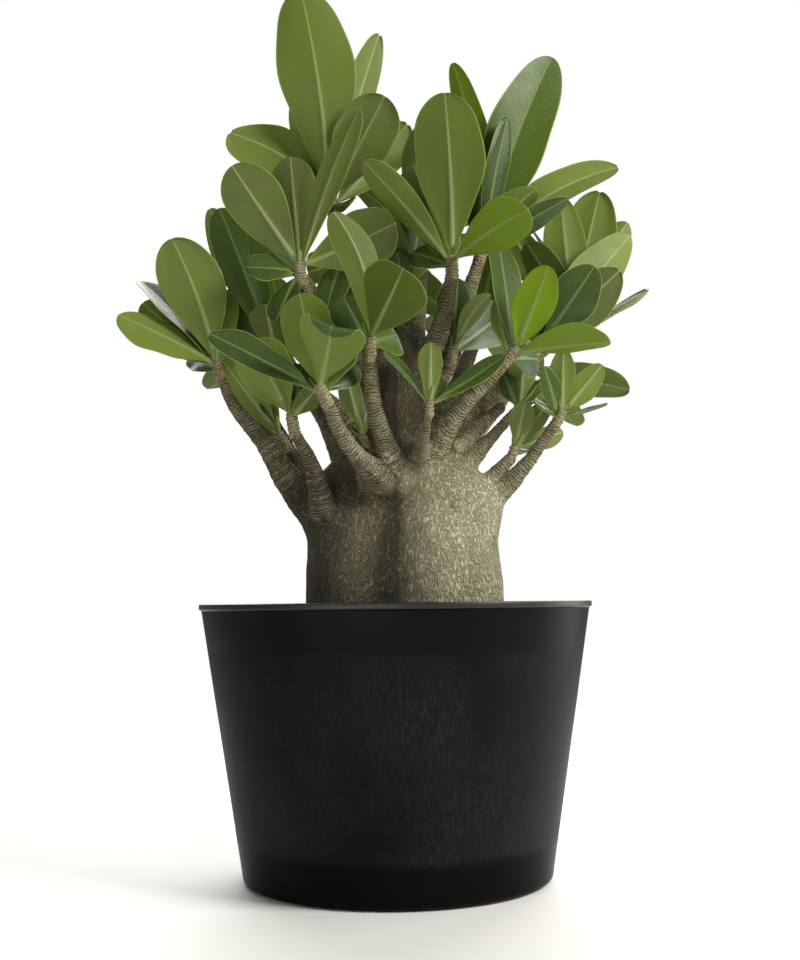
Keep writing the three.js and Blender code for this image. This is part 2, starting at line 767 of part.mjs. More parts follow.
// Leaves round a branch's end, by the golden angle, each with its upper face to the branch's axis
function leavesAround(rosette) {
  const axis = stemRings(rosette.branch).at(-1).tangent;
  const across = new THREE.Vector3(1, 0, 0);
  across.addScaledVector(axis, -across.dot(axis)).normalize();
  const beside = new THREE.Vector3().crossVectors(axis, across);
  return Array.from({ length: rosette.leaves }, (unused, order) => {
    const round = THREE.MathUtils.degToRad(order * GOLDEN_ANGLE);
    const spread = THREE.MathUtils.degToRad(draw(RULE_LEAF_SPREAD));
    const out = across.clone().multiplyScalar(Math.cos(round)).addScaledVector(beside, Math.sin(round));
    const direction = axis.clone().multiplyScalar(Math.cos(spread)).addScaledVector(out, Math.sin(spread));
    const upper = axis.clone().multiplyScalar(Math.sin(spread)).addScaledVector(out, -Math.cos(spread));
    const lean = Math.asin(-direction.y);
    const angle = Math.atan2(direction.z, direction.x);
    const level = leafAxes(angle, lean, 0);
    const turn = Math.atan2(-upper.dot(level.side), upper.dot(level.upper));
    const length = draw(RULE_LEAF_LENGTH);
    const width = RULE_LEAF_SLENDERNESS * length;
    const degrees = [angle, lean, turn].map(THREE.MathUtils.radToDeg);
    return [degrees[0], degrees[1], length, width, degrees[2], draw(RULE_LEAF_BEND), RULE_LEAF_FOLD];
  });
}

function stemPieces(points) {
  const rings = stemRings(points);
  return rings.slice(1).map((ring, i) => ({
    line: new THREE.Line3(rings[i].centre, ring.centre),
    radius: Math.max(ring.radius, rings[i].radius),
  }));
}

const backRosettes = BACK_ROSETTES.map((rosette, i) => ({
  ...rosette,
  name: `rosette_back_${i + 1}`,
  shape: SPOON,
}));
const allRosettes = [...ROSETTES, ...backRosettes];

function placeAllLeaves() {
  const stems = allRosettes.map(({ name, branch }) => ({ rosette: name, pieces: stemPieces(branch) }));
  for (const rosette of allRosettes) {
    const { foot, tip, radius } = shootLine(rosette);
    const pieces = [{ line: new THREE.Line3(foot, tip), radius }];
    stems.push({ rosette: rosette.name, shoot: true, pieces });
  }
  for (const points of [LEADER, ...BARE_STEMS]) {
    stems.push({ rosette: null, pieces: stemPieces(points) });
  }
  const placed = [];
  const place = (rosette, numbers, first) => {
    const shoot = shootLine(rosette);
    numbers.forEach((leaf, order) => placeLeaf(makeLeaf(rosette, shoot, leaf, first + order), placed, stems));
  };
  for (const rosette of ROSETTES) {
    place(rosette, rosette.leaves, 0);
  }
  for (const rosette of ROSETTES) {
    place(rosette, leavesBehind(rosette), rosette.leaves.length);
  }
  for (const rosette of backRosettes) {
    place(rosette, leavesAround(rosette), 0);
  }
  return placed;
}

function trunkSolid() {
  const stems = [LEADER, ...BARE_STEMS, ...allRosettes.map(({ branch }) => branch)];
  return fuse([lobe(LEFT_LOBE), lobe(RIGHT_LOBE), ...stems.map(stemSolid)]);
}

const blackPlastic = new THREE.MeshStandardMaterial({ color: 0x1c1c1d, roughness: 0.5, metalness: 0 });
const soilMix = new THREE.MeshStandardMaterial({ color: 0x3f3127, roughness: 0.95, metalness: 0 });
const bark = new THREE.MeshStandardMaterial({ color: 0x6d6251, roughness: 0.85, metalness: 0 });
const leafGreen = new THREE.MeshStandardMaterial({ color: 0x5d7434, roughness: 0.5, metalness: 0 });

function makeMesh(name, solid, material, origin = [0, 0, 0]) {
  const geometry = toGeometry(solid);
  geometry.translate(-origin[0], -origin[1], -origin[2]);
  const mesh = new THREE.Mesh(geometry, material);
  mesh.name = name;
  mesh.position.set(...origin);
  return mesh;
}

const part = new THREE.Group();
part.add(makeMesh('pot', potSolid(), blackPlastic));
part.add(makeMesh('soil', soilSolid(), soilMix));

const plant = new THREE.Group();
plant.add(makeMesh('trunk_and_branches', trunkSolid(), bark));
const placedLeaves = placeAllLeaves();
for (const rosette of allRosettes) {
  const blades = placedLeaves.filter((place) => place.rosette === rosette.name);
  const solid = fuse([shootSolid(shootLine(rosette)), ...blades.map((place) => leafSolid(place.leaf))]);
  plant.add(makeMesh(rosette.name, solid, leafGreen, rosette.tip));
}
part.add(plant);

export default part;
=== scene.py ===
import math
from dataclasses import dataclass, replace
from types import SimpleNamespace

import bpy
import numpy as np
from mathutils import Matrix, Vector


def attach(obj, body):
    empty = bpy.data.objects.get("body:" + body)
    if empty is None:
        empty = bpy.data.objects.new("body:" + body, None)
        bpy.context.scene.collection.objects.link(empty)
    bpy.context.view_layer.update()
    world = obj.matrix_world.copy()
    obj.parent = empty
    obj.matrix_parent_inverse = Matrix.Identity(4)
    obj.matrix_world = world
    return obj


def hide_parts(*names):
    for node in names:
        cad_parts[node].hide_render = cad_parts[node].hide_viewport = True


# The looks of a potted desert rose. Sizes are in millimetres in the tables and in metres on the meshes.
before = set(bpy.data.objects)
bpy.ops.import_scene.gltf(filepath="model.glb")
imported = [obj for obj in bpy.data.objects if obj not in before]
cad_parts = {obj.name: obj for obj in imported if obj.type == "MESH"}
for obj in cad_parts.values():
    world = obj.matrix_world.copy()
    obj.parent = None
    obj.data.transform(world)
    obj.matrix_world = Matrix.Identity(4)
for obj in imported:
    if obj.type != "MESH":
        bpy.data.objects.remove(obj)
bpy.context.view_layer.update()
MM = 0.001

# Camera, at the photograph's angle
CAMERA_PLACE = (3.7, -828.0, 167.0)
CAMERA_PITCH = 5.16
CAMERA_ROLL = -0.63
CAMERA_LENS = 50.1
CAMERA_SENSOR = 36

# Light from all round and the plain backdrop, and the lamps, as (name, place and target in metres, width
# and height in metres, watts, colour)
WORLD_STRENGTH = 0.215
BACKDROP_STRENGTH = 1.0
LIGHTS = [
    ("key", (1.35, -0.75, 1.05), (0, 0, 0.3), (0.8, 0.8), 44, (1.0, 0.98, 0.93)),
    ("side", (1.4, 0.55, 0.35), (0, 0, 0.2), (0.9, 0.9), 8, (1.0, 1.0, 0.98)),
    ("low", (-0.5, -1.2, 0.1), (0, 0, 0.4), (1.2, 0.5), 7, (1.0, 1.0, 0.96)),
    ("back", (0.0, 1.25, 1.25), (0, 0, 0.35), (2.0, 1.4), 46, (1.0, 1.0, 0.97)),
]

# Floor: its rings' radii, how far it lies under the pot, and in metres where it starts to fade and is gone
FLOOR_RINGS = (1, 150, 300, 600, 1200, 2400)
FLOOR_SIDES = 96
FLOOR_DROP = 0.2
FLOOR_FADE = (0.35, 1.5)

# Pot
RIM_RADIUS = 120.0
WALL_TOP_RADIUS = 119.1
BASE_RADIUS = 93.0
POT_HEIGHT = 166.0
POT_WALL = 2.4
POT_FLOOR = 3.2
BASE_CORNER = 5.0
LIP_HEIGHT = 3.5
LIP_ROUNDING = 0.8
INNER_LIP_ROUNDING = 0.6
PROFILE_START = 0.02
OUTER_WALL_POINTS = 40
INNER_WALL_POINTS = 30
TOP_BAND = 139.0
FOOT_BAND = 26.0
POT_SIDES = 176
DRAIN_HOLES = 6
DRAIN_HOLE_RADIUS = 6.0
DRAIN_HOLE_SIDES = 32
DRAIN_CIRCLE_RADIUS = 64.0
DRAIN_CUTTER_EXCESS = 2

# Soil
SOIL_TOP = 150.0
SOIL_MOUND = 5.0
SOIL_RINGS = 60
SOIL_SIDES = 180
SOIL_EDGE_GAP = 0.4
GRAINS = 900
GRAIN_SIZES = (1.1, 2.9)
GRAIN_ROWS = 5
GRAIN_SIDES = 7
GRAIN_SEED = 8
# Lumps of the soil's top, as (height, size, seed)
SOIL_LUMPS = [(0.8, 9, 5), (0.35, 2.5, 6)]

# Trunk: two lobes that meet in an upright groove, as oval sections [x, y, z, half width, half depth]
LEFT_LOBE = [
    [-13, 6, 96, 18, 16],
    [-13, 6, 106, 32, 30],
    [-14, 6, 130, 40, 38],
    [-14, 6, 165, 42, 40],
    [-14, 5, 200, 40, 38],
    [-15, 3, 222, 40, 34],
    [-19, 1, 240, 31, 26],
    [-22, 0, 254, 16, 15],
]
RIGHT_LOBE = [
    [25, -4, 92, 18, 18],
    [26, -5, 104, 30, 34],
    [26, -6, 130, 37, 44],
    [27, -7, 165, 39, 48],
    [27, -8, 200, 37, 46],
    [28, -8, 222, 37, 39],
    [25, -8, 242, 30, 29],
    [18, -7, 260, 17, 18],
]

# The thick limb that rises from the trunk, and the bare stubs and twigs, as points [x, y, z, radius]
LEADER = [[4, 0, 225, 27], [2, 2, 262, 22], [6, 4, 296, 18], [8, 6, 328, 11]]
BARE_STEMS = [
    [[-14, -26, 228, 7], [-19, -37, 249, 5], [-19, -39, 256, 4.4]],
    [[38, -16, 260, 6.5], [58, -4, 278, 3.8], [68, -3, 287, 3.3]],
    [[22, 10, 262, 9], [38, 16, 290, 6], [64, 12, 314, 4.9], [70, 12, 318, 4.4]],
]

# Leaves and shoots, and how neighbouring blades keep apart
BLADE = 0.9
LEAF_BASE_HALF_WIDTH = 1.5
LEAF_TIP_SHARE = 0.3
LEAF_BASE_NARROWNESS = 1.2
LEAF_BASE_STEP = 0.12
LOWEST_LEAF_BASE = 0.6
LEAF_BASE_OUT = 0.5
SPOON = 0.66
OVAL = 0.54
GAP = 0.3
SPOT_ROWS = 8
SPOT_COLUMNS = np.array([-0.9, -0.45, 0, 0.45, 0.9])
BLADE_SPACING = 6.5
OWN_BLADE_SPACING = 4
OWN_FREE_ROWS = 3
STEM_SPACING = 2.5
LEAN_TRIES = [0, 6, -6, 12, -12, 18, -18, 24, -24, 30, -30, 38, -38, 46, -46]
MOST_LEAN = 72
MOST_LENGTHENING = 1.2

# Rosettes. A branch has points [x, y, z, radius] from inside the trunk to the shoot, and the tip is where
# the leaves meet. A leaf is [angle, lean, length, width, turn, bend, fold, sweep], in degrees and mm:
# angle is its direction seen from the front, from +X towards +Z, and lean is how far it comes forward.
# turn is 0 where the upper face looks to the front and 180 where the pale lower face does. bend curls the
# tip to the lower face, fold raises both halves from the midrib, and sweep bows the blade to one side and
# may be left out.
ROSETTES = [
    dict(
        name="rosette_left_outer", shape=SPOON, tip=[-109, -15, 315],
        branch=[[-38, -6, 218, 19], [-62, -9, 239, 10.5], [-80, -13, 265, 5.4], [-97, -16, 286, 3.9],
            [-106, -16, 305, 3.2]],
        leaves=[
            [109, 6, 80, 39, 180, 20, 8, 15],
            [153, 4, 66, 27, 215, -10, 10],
            [131, -18, 83, 34, 60, 15, 14],
            [137, -23, 76, 30, 190, 10, 8],
            [94, -24, 62, 26, 165, 10, 8],
        ],
    ),
    dict(
        name="rosette_left_behind", shape=SPOON, tip=[-106, 37, 330],
        branch=[[-45, 12, 234, 11], [-63, 22, 255, 6.6], [-82, 31, 288, 4.8], [-98, 35, 311, 4]],
        leaves=[
            [85, -12, 46, 30, 20, 20, 8],
            [145, -42, 52, 28, 10, 15, 8],
            [38, -53, 37, 26, 20, 15, 8],
        ],
    ),
    dict(
        name="rosette_left_low_front", shape=SPOON, tip=[-60, -48, 277],
        branch=[[-42, -24, 222, 9], [-49, -40, 249, 4.4], [-58, -46, 266, 3.8]],
        leaves=[
            [117, 12, 49, 33, 180, 10, 8],
            [45, 30, 22, 14, 190, 10, 8],
            [82, -19, 37, 24, 10, 10, 8],
        ],
    ),
    dict(
        name="rosette_left_low_behind", shape=SPOON, tip=[-72, 2, 272],
        branch=[[-44, 2, 230, 10], [-54, 2, 246, 5.6], [-66, 2, 262, 3.8]],
        leaves=[
            [127, -8, 61, 24, 185, 10, 8],
            [123, -40, 47, 22, 170, 10, 8],
        ],
    ),
    dict(
        name="rosette_left_middle", shape=SPOON, tip=[-77, 12, 327],
        branch=[[-10, 5, 262, 12], [-30, 5, 282, 6.8], [-56, 10, 306, 4.8], [-70, 12, 319, 4]],
        leaves=[
            [110, 0, 92, 30, 10, 20, 8],
            [114, -20, 118, 25, 170, 10, 8],
            [99, 40, 34, 24, 180, 15, 8],
            [120, -29, 61, 28, 10, 10, 8],
            [81, -12, 47, 24, 10, 10, 8],
        ],
    ),
    dict(
        name="rosette_front_left", shape=SPOON, tip=[-42, -76, 289],
        branch=[[0, -22, 234, 11], [-20, -56, 250, 5.6], [-31, -69, 265, 4.8], [-37, -75, 279, 4.1]],
        leaves=[
            [71, 56, 58, 38, 180, 40, 10],
            [102, 5, 55, 30, 180, 10, 8],
            [152, 4, 70, 26, 40, 5, 14],
            [58, -36, 34, 26, 10, 10, 8],
        ],
    ),
    dict(
        name="rosette_front_small", shape=SPOON, tip=[-19, -42, 265],
        branch=[[0, -20, 238, 7.5], [-9, -36, 250, 3.4], [-15, -41, 258, 2.8]],
        leaves=[
            [104, 24, 42, 15, 200, 10, 12],
            [80, -20, 30, 14, 10, 10, 8],
        ],
    ),
    dict(
        name="rosette_front_middle", shape=SPOON, tip=[-13, -70, 318],
        branch=[[6, -20, 236, 12], [-4, -46, 258, 6.1], [-11, -62, 280, 4.9], [-13, -69, 306, 4.3]],
        leaves=[
            [57, 51, 55, 39, 180, 25, 10],
            [105, 12, 75, 25, 205, 15, 10, 60],
            [38, -62, 40, 26, 10, 10, 8],
            [114, -38, 49, 30, 10, 10, 8],
        ],
    ),
    dict(
        name="rosette_front_right_small", shape=SPOON, tip=[21, -68, 282],
        branch=[[13, -26, 244, 8], [18, -54, 262, 3.5], [21, -66, 274, 2.8]],
        leaves=[
            [88, 18, 33, 14, 180, 5, 8],
            [132, 8, 38, 13, 60, 10, 14],
            [33, -6, 52, 16, 320, -15, 12],
            [71, -41, 27, 12, 10, 5, 8],
        ],
    ),
    dict(
        name="rosette_front_right", shape=OVAL, tip=[73.5, -52, 313],
        branch=[[14, -22, 242, 13], [37, -42, 276, 5.6], [55, -48, 295, 4.6], [66, -51, 306, 3.9]],
        leaves=[
            [68, 8, 52, 25, 180, 10, 6],
            [2, 23, 56, 26, 235, 10, 28],
            [94, -22, 83, 27, 40, 5, 12],
            [86, -26, 66, 20, 160, 5, 10],
            [101, -19, 37, 12, 200, 10, 8],
            [16, -60, 41, 24, 10, 10, 8],
        ],
    ),
    dict(
        name="rosette_top_middle", shape=SPOON, tip=[37, -22, 377],
        branch=[[6, 4, 296, 13], [24, -8, 321, 7.6], [33, -14, 346, 5.6], [37, -20, 366, 4.3]],
        leaves=[
            [92, 8, 100, 44, 180, 12, 6, 8],
            [17, 38, 62, 30, 200, 10, 8, -12],
            [132, 14, 80, 23, 140, 15, 8],
            [108, -12, 74, 36, 175, 10, 8],
            [152, -26, 28, 22, 20, 20, 8],
        ],
    ),
    dict(
        name="rosette_top_right", shape=OVAL, tip=[61, 20, 397],
        branch=[[8, 10, 280, 14], [38, 18, 330, 8], [50, 18, 366, 4.9], [57, 20, 387, 4.1]],
        leaves=[
            [70, -6, 139, 42, 12, 10, 6, 16],
            [98, -5, 128, 23, 150, 10, 8, 14],
            [79, 5, 85, 21, 40, 5, 12, 14],
            [32, -3, 104, 26, 220, 8, 20, -38],
            [47, 19, 51, 24, 215, 10, 8, -30],
            [31, 9, 63, 20, 50, 10, 10, 25],
            [86, -15, 95, 32, 175, 10, 8],
        ],
    ),
    dict(
        name="rosette_top_left", shape=SPOON, tip=[-57, -18, 375],
        branch=[[4, 4, 312, 11], [-24, 0, 337, 6.4], [-48, -12, 353, 4.8], [-56, -17, 364, 4.1]],
        leaves=[
            [124, 13, 71, 36, 180, 12, 6],
            [20, 16, 64, 38, 180, 25, 8],
            [95, -9, 76, 32, 180, 8, 6],
            [69, 8, 104, 22, 150, 8, 10, -20],
            [179, 18, 32, 28, 40, 15, 10],
            [-112, 19, 37, 20, 20, 15, 8],
            [128, -36, 51, 34, 10, 10, 8],
        ],
    ),
    dict(
        name="rosette_crown", shape=SPOON, tip=[-41, 14, 427],
        branch=[[6, 10, 318, 12], [-14, 20, 372, 6], [-32, 19, 404, 4.7], [-37, 17, 416, 4.2]],
        leaves=[
            [97, 6, 134, 50, 180, 10, 6, 12],
            [60, 11, 73, 40, 180, 12, 6],
            [143, -4, 80, 42, 200, 10, 8, 55],
            [76, -13, 132, 28, 230, 8, 8],
            [101, -18, 100, 32, 185, 10, 8],
            [53, -20, 86, 30, 185, 15, 8],
            [-10, 55, 24, 14, 150, 30, 8],
            [157, -18, 80, 18, 170, 8, 8],
        ],
    ),
    dict(
        name="rosette_inner_left", shape=SPOON, tip=[-29, -6, 382],
        branch=[[-2, -2, 316, 9], [-22, -7, 358, 4.5], [-27, -7, 373, 3.9]],
        leaves=[
            [-105, 8, 36, 22, 20, 20, 8],
            [-158, 29, 27, 22, 160, 15, 8],
            [-100, -14, 30, 18, 20, 10, 8],
        ],
    ),
    dict(
        name="rosette_inner_middle", shape=SPOON, tip=[6, 12, 365],
        branch=[[8, 6, 322, 9.5], [7, 12, 354, 4.4]],
        leaves=[
            [87, -8, 68, 28, 180, 8, 8],
            [97, 53, 38, 22, 10, 20, 8],
            [77, 10, 56, 32, 30, 25, 8],
            [108, -20, 53, 28, 170, 10, 8],
        ],
    ),
    dict(
        name="rosette_inner_right", shape=SPOON, tip=[38, -4, 324],
        branch=[[14, 4, 288, 10], [33, -1, 308, 4.4], [36, -3, 315, 3.9]],
        leaves=[
            [56, 16, 42, 14, 215, 20, 10, -28],
            [85, -5, 48, 26, 15, 5, 8],
            [42, -12, 48, 30, 10, 10, 8],
        ],
    ),
    dict(
        name="rosette_right_middle", shape=OVAL, tip=[97, 6, 331],
        branch=[[14, -8, 254, 14], [54, 0, 292, 6.6], [80, 5, 314, 4.8], [90, 6, 323, 4]],
        leaves=[
            [55, 12, 54, 30, 5, 18, 6],
            [43, -6, 68, 32, 180, 10, 6],
            [51, -19, 106, 34, 200, 8, 6],
            [30, -24, 94, 26, 110, 10, 8],
            [109, -29, 41, 26, 20, 10, 8],
        ],
    ),
    dict(
        name="rosette_right_outer", shape=OVAL, tip=[119, 36, 359],
        branch=[[34, 8, 274, 9], [64, 20, 304, 5.6], [97, 30, 328, 4.6], [113, 35, 349, 3.9]],
        leaves=[
            [75, -2, 82, 38, 180, 8, 6],
            [94, 5, 74, 28, 180, 8, 8],
            [109, 7, 64, 22, 80, 5, 12],
            [108, 14, 57, 26, 215, 15, 8],
            [121, 13, 53, 26, 145, 10, 8],
            [122, -7, 80, 24, 180, 8, 8],
            [57, -21, 90, 28, 185, 8, 8],
        ],
    ),
    dict(
        name="rosette_right_low", shape=SPOON, tip=[79, -8, 286],
        branch=[[34, -14, 238, 8], [59, -10, 265, 3.8], [70, -8, 277, 3.3]],
        leaves=[
            [84, 10, 36, 18, 180, 5, 8],
            [115, -21, 22, 14, 10, 10, 8],
            [50, -19, 28, 14, 130, 10, 8],
            [9, -24, 33, 13, 70, 15, 10],
        ],
    ),
    dict(
        name="rosette_right_twig", shape=SPOON, tip=[74, -18, 260],
        branch=[[46, -14, 226, 8.5], [62, -15, 244, 3.8], [72, -17, 254, 3.2]],
        leaves=[
            [76, 12, 28, 15, 180, 8, 8],
            [22, -38, 44, 14, 180, 5, 8],
            [54, -20, 40, 13, 180, 8, 8],
            [5, -23, 15, 10, 80, 10, 8],
        ],
    ),
    dict(
        name="rosette_right_low_outer", shape=OVAL, tip=[103, -24, 280],
        branch=[[44, -8, 212, 16], [61, -12, 228, 7.6], [77, -16, 244, 4.5], [92, -21, 264, 3.9],
            [98, -23, 272, 3.6]],
        leaves=[
            [88, 8, 38, 16, 180, 5, 8],
            [50, -6, 40, 17, 180, 8, 8],
            [14, 4, 28, 14, 85, 5, 8],
            [108, -25, 33, 14, 20, 8, 8],
            [150, 20, 18, 12, 60, 10, 8],
        ],
    ),
]

# Rosettes at the back, as (number of leaves, tip, branch), with leaves set by rule round the branch's end
BACK_ROSETTES = [
    (5, [-74, 76, 336], [[-20, 18, 238, 14], [-44, 46, 284, 6.4], [-69, 70, 326, 4.4]]),
    (5, [-30, 104, 368], [[-4, 16, 268, 12], [-20, 60, 314, 6.4], [-29, 98, 358, 4.4]]),
    (5, [20, 63, 414], [[8, 12, 290, 12], [16, 40, 348, 6], [20, 60, 403, 4.4]]),
    (5, [60, 93, 358], [[20, 12, 268, 12], [42, 56, 308, 6.4], [57, 88, 348, 4.4]]),
    (5, [87, 68, 324], [[24, 16, 240, 13], [56, 44, 280, 6.4], [82, 64, 314, 4.4]]),
    (6, [0, 107, 308], [[0, 22, 240, 13], [0, 64, 268, 6], [0, 100, 299, 4.4]]),
]
GOLDEN_ANGLE = 137.5
RULE_LEAF_LENGTH = (58, 82)
RULE_LEAF_SPREAD = (38, 74)
RULE_LEAF_SLENDERNESS = 0.46
RULE_LEAF_BEND = (5, 25)
RULE_LEAF_FOLD = 8
HIDDEN_LEAF_LENGTH = 57
HIDDEN_LEAF_SIZE = 0.85
HIDDEN_LEAF_LEAN = (-62, -40)
HIDDEN_LEAF_TURN = (-20, 20)
HIDDEN_LEAF_ASIDE = 12
LEAF_SEED = 77

# Fine leaves, with their columns of points as shares of half the width
LEAF_COLUMNS = np.array([-1, -0.975, -0.9, -0.74, -0.56, -0.38, -0.22, -0.11, -0.04])
LEAF_COLUMNS = np.concatenate([LEAF_COLUMNS, -LEAF_COLUMNS[::-1]])
LONG_LEAF = 45
LONG_LEAF_ROWS = 28
SHORT_LEAF_ROWS = 18
LEAF_END = 0.9985
FOLD_SOFTNESS = 1.6
EDGE_THICKNESS = 0.36
RIB_HEIGHT = 1.1
RIB_HALF_WIDTH = (1.9, 0.4)
VEIN_SPACING = 6.0
EDGE_WAVE = 0.022
EDGE_ROLL = (-0.015, 0.06)
EDGE_UNEVENNESS = 0.035
EDGE_LUMPS = (1.2, 2.6)
EDGE_WAVES = (1.3, 2.4)
QUILT_HEIGHT = 0.05
TIP_THINNING = 0.4
RIB_ON_UPPER_FACE = 0.25
LITTLE_FRESHNESS = (0, 0.2)
FRESH_LEAVES = {
    "rosette_front_right": {0: 1.0, 1: 0.5},
    "rosette_front_left": {1: 0.55},
    "rosette_front_middle": {1: 0.3},
    "rosette_top_middle": {0: 0.35, 1: 0.5},
    "rosette_top_right": {0: 0.45, 1: 0.5, 3: 0.2},
    "rosette_right_outer": {0: 0.3},
}
# Leaves whose tip folds over to the lower face, as [start and end of the fold along the leaf, degrees]
FOLDED_TIPS = {("rosette_front_left", 0): (0.86, 0.915, 155)}
FOLDED_LEAF_ROWS = 60
FOLDED_LEAF_LENGTH_SHARE = 0.92
# Leaves that are paler or darker than the rest, as the point of the leaf_finish tone cycle that they take
# The pale tone paints light onto leaves that lie in shade, and a sheen onto the front-left rosette's folded
# leaf
PAINTED_LIGHT_TONE = 0.51
DARK_TONE = 0.34
LEAF_TONES = {
    ("rosette_front_left", 0): PAINTED_LIGHT_TONE,
    ("rosette_front_middle", 1): DARK_TONE,
    ("rosette_front_right", 1): PAINTED_LIGHT_TONE,
    ("rosette_left_outer", 1): PAINTED_LIGHT_TONE,
    ("rosette_top_middle", 1): PAINTED_LIGHT_TONE,
    ("rosette_top_right", 0): DARK_TONE,
}

# Fine shoots, and the buds at their ends
SHOOT_SIDES = 24
SHOOT_ROWS = 22
SHOOT_LEDGE = 0.3
# A shoot's thickness, as shares of its length and of its radius there
SHOOT_SIZES = ([0, 0.33, 0.66, 0.85, 1], [1, 1, 0.96, 0.85, 0.3])
BUD_LEAVES = 3
BUD_ORDER = 90
BUD_SPREAD = 12
BUD_SPREAD_STEP = 9
BUD_LENGTH = (7, 10)
BUD_LENGTH_STEP = 1.5
BUD_SLENDERNESS = 0.32
BUD_BEND = math.radians(-15)
BUD_FOLD = math.radians(25)

# Fine wood
WOOD_VOXEL = 1.05
WOOD_THINNING = 0.95
STEM_STEPS = 6
STEM_SKIN_SIDES = 14
LOBE_STEPS = 40
LOBE_SOFTNESS = 7.0
TRUNK_SOFTNESS = 9.0
JOIN_SHARE = 0.6
LEAST_JOIN_SOFTNESS = 3
JOIN_SOFTNESS = 6.5
SETTLING_ROUNDS = 3
SETTLING_STEP = 2
GRAIN_OFFSET = 61
RIPPLE_WAVES = 7
SCAR_SPACING = 3.1
SCAR_DEPTH = 0.34
SCAR_RING_HEIGHT = 1.6
SCAR_REACH = 16
RING_SPACING = 1.9
YOUNG_WOOD = 45.0
WOOD_TRIANGLES = 186_000
# A stem's own bark: how far it stands out of the trunk where the bark starts and where it is whole, from
# which to which radius it gives way to the trunk's skin, and how near to the stem it reaches
FREE_STEM = (1.5, 9.0)
THICK_STEM = (9.5, 14)
STEM_REACH = 4
# Round scars of shed twigs on the trunk, as [x, y, z, radius] with a rough y
TRUNK_SCARS = [[38, -52, 222, 2.5], [50, -46, 217, 2.2], [-4, -28, 250, 2.4], [60, -30, 206, 1.6]]


class Draws:
    """One seeded draw after another, the same on every run"""

    FACTOR = 16807
    PERIOD = 2147483647

    def __init__(self, state):
        self.state = state

    def __call__(self, limits):
        self.state = self.state * self.FACTOR % self.PERIOD
        low, high = limits
        return low + (high - low) * (self.state / self.PERIOD)


draw = Draws(LEAF_SEED)


def unit(vector):
    return vector / np.linalg.norm(vector)


def smooth(low, high, value):
    """0 at low, 1 at high and an even step between"""
    t = np.clip((value - low) / (high - low), 0, 1)
    return t * t * (3 - 2 * t)


def curve_point(points, share):
    """A point on the smooth curve through points, at a share of its spans"""
    spans = len(points) - 1
    span = min(int(share * spans), spans - 1)
    t = share * spans - span
    a, b = points[span], points[span + 1]
    before = points[span - 1] if span > 0 else 2 * a - b
    after = points[span + 2] if span + 2 <= spans else 2 * b - a
    leave, arrive = (b - before) / 2, (after - a) / 2
    return (
        a + leave * t
        + (-3 * a + 3 * b - 2 * leave - arrive) * t**2
        + (2 * a - 2 * b + leave + arrive) * t**3
    )


def curve_tangent(points, share):
    step = 1e-4
    return unit(curve_point(points, min(share + step, 1)) - curve_point(points, max(share - step, 0)))


def stem_line(stem, per_span):
    """Centres and radii along a stem, per_span steps between its points"""
    points = np.array([p[:3] for p in stem], float)
    count = per_span * (len(points) - 1)
    centres = np.array([curve_point(points, i / count) for i in range(count + 1)])
    radii = np.interp(np.arange(count + 1) / per_span, range(len(points)), [p[3] for p in stem])
    return centres, radii


def line_tangents(centres):
    steps = np.gradient(centres, axis=0)
    return steps / np.linalg.norm(steps, axis=1, keepdims=True)


def line_lengths(centres):
    """Length of a line up to each of its points"""
    return np.concatenate([[0], np.cumsum(np.linalg.norm(np.diff(centres, axis=0), axis=1))])


def line_sides(tangents):
    """A direction square to a line at each of its points, which turns as little as it can"""
    across = np.array([0.0, 1.0, 0.0])
    found = []
    for tangent in tangents:
        across = unit(across - across.dot(tangent) * tangent)
        found.append(across)
    return np.array(found)


def ring_turns(sides):
    return np.arange(sides) / sides * 2 * np.pi


def level_ring(turns, out, height):
    """A level ring of points round the pot's axis"""
    return np.stack([out * np.cos(turns), out * np.sin(turns), np.full(len(turns), height)], -1)


def leaf_axes(angle, lean, turn):
    """A leaf's own axes, from its direction seen from the front, its lean to the front and its turn"""
    direction = np.array(
        [math.cos(lean) * math.cos(angle), -math.sin(lean), math.cos(lean) * math.sin(angle)]
    )
    front = np.array([0.0, -1.0, 0.0])
    front = unit(front - front.dot(direction) * direction)
    upper = front * math.cos(turn) + np.cross(direction, front) * math.sin(turn)
    return direction, upper, np.cross(upper, direction)


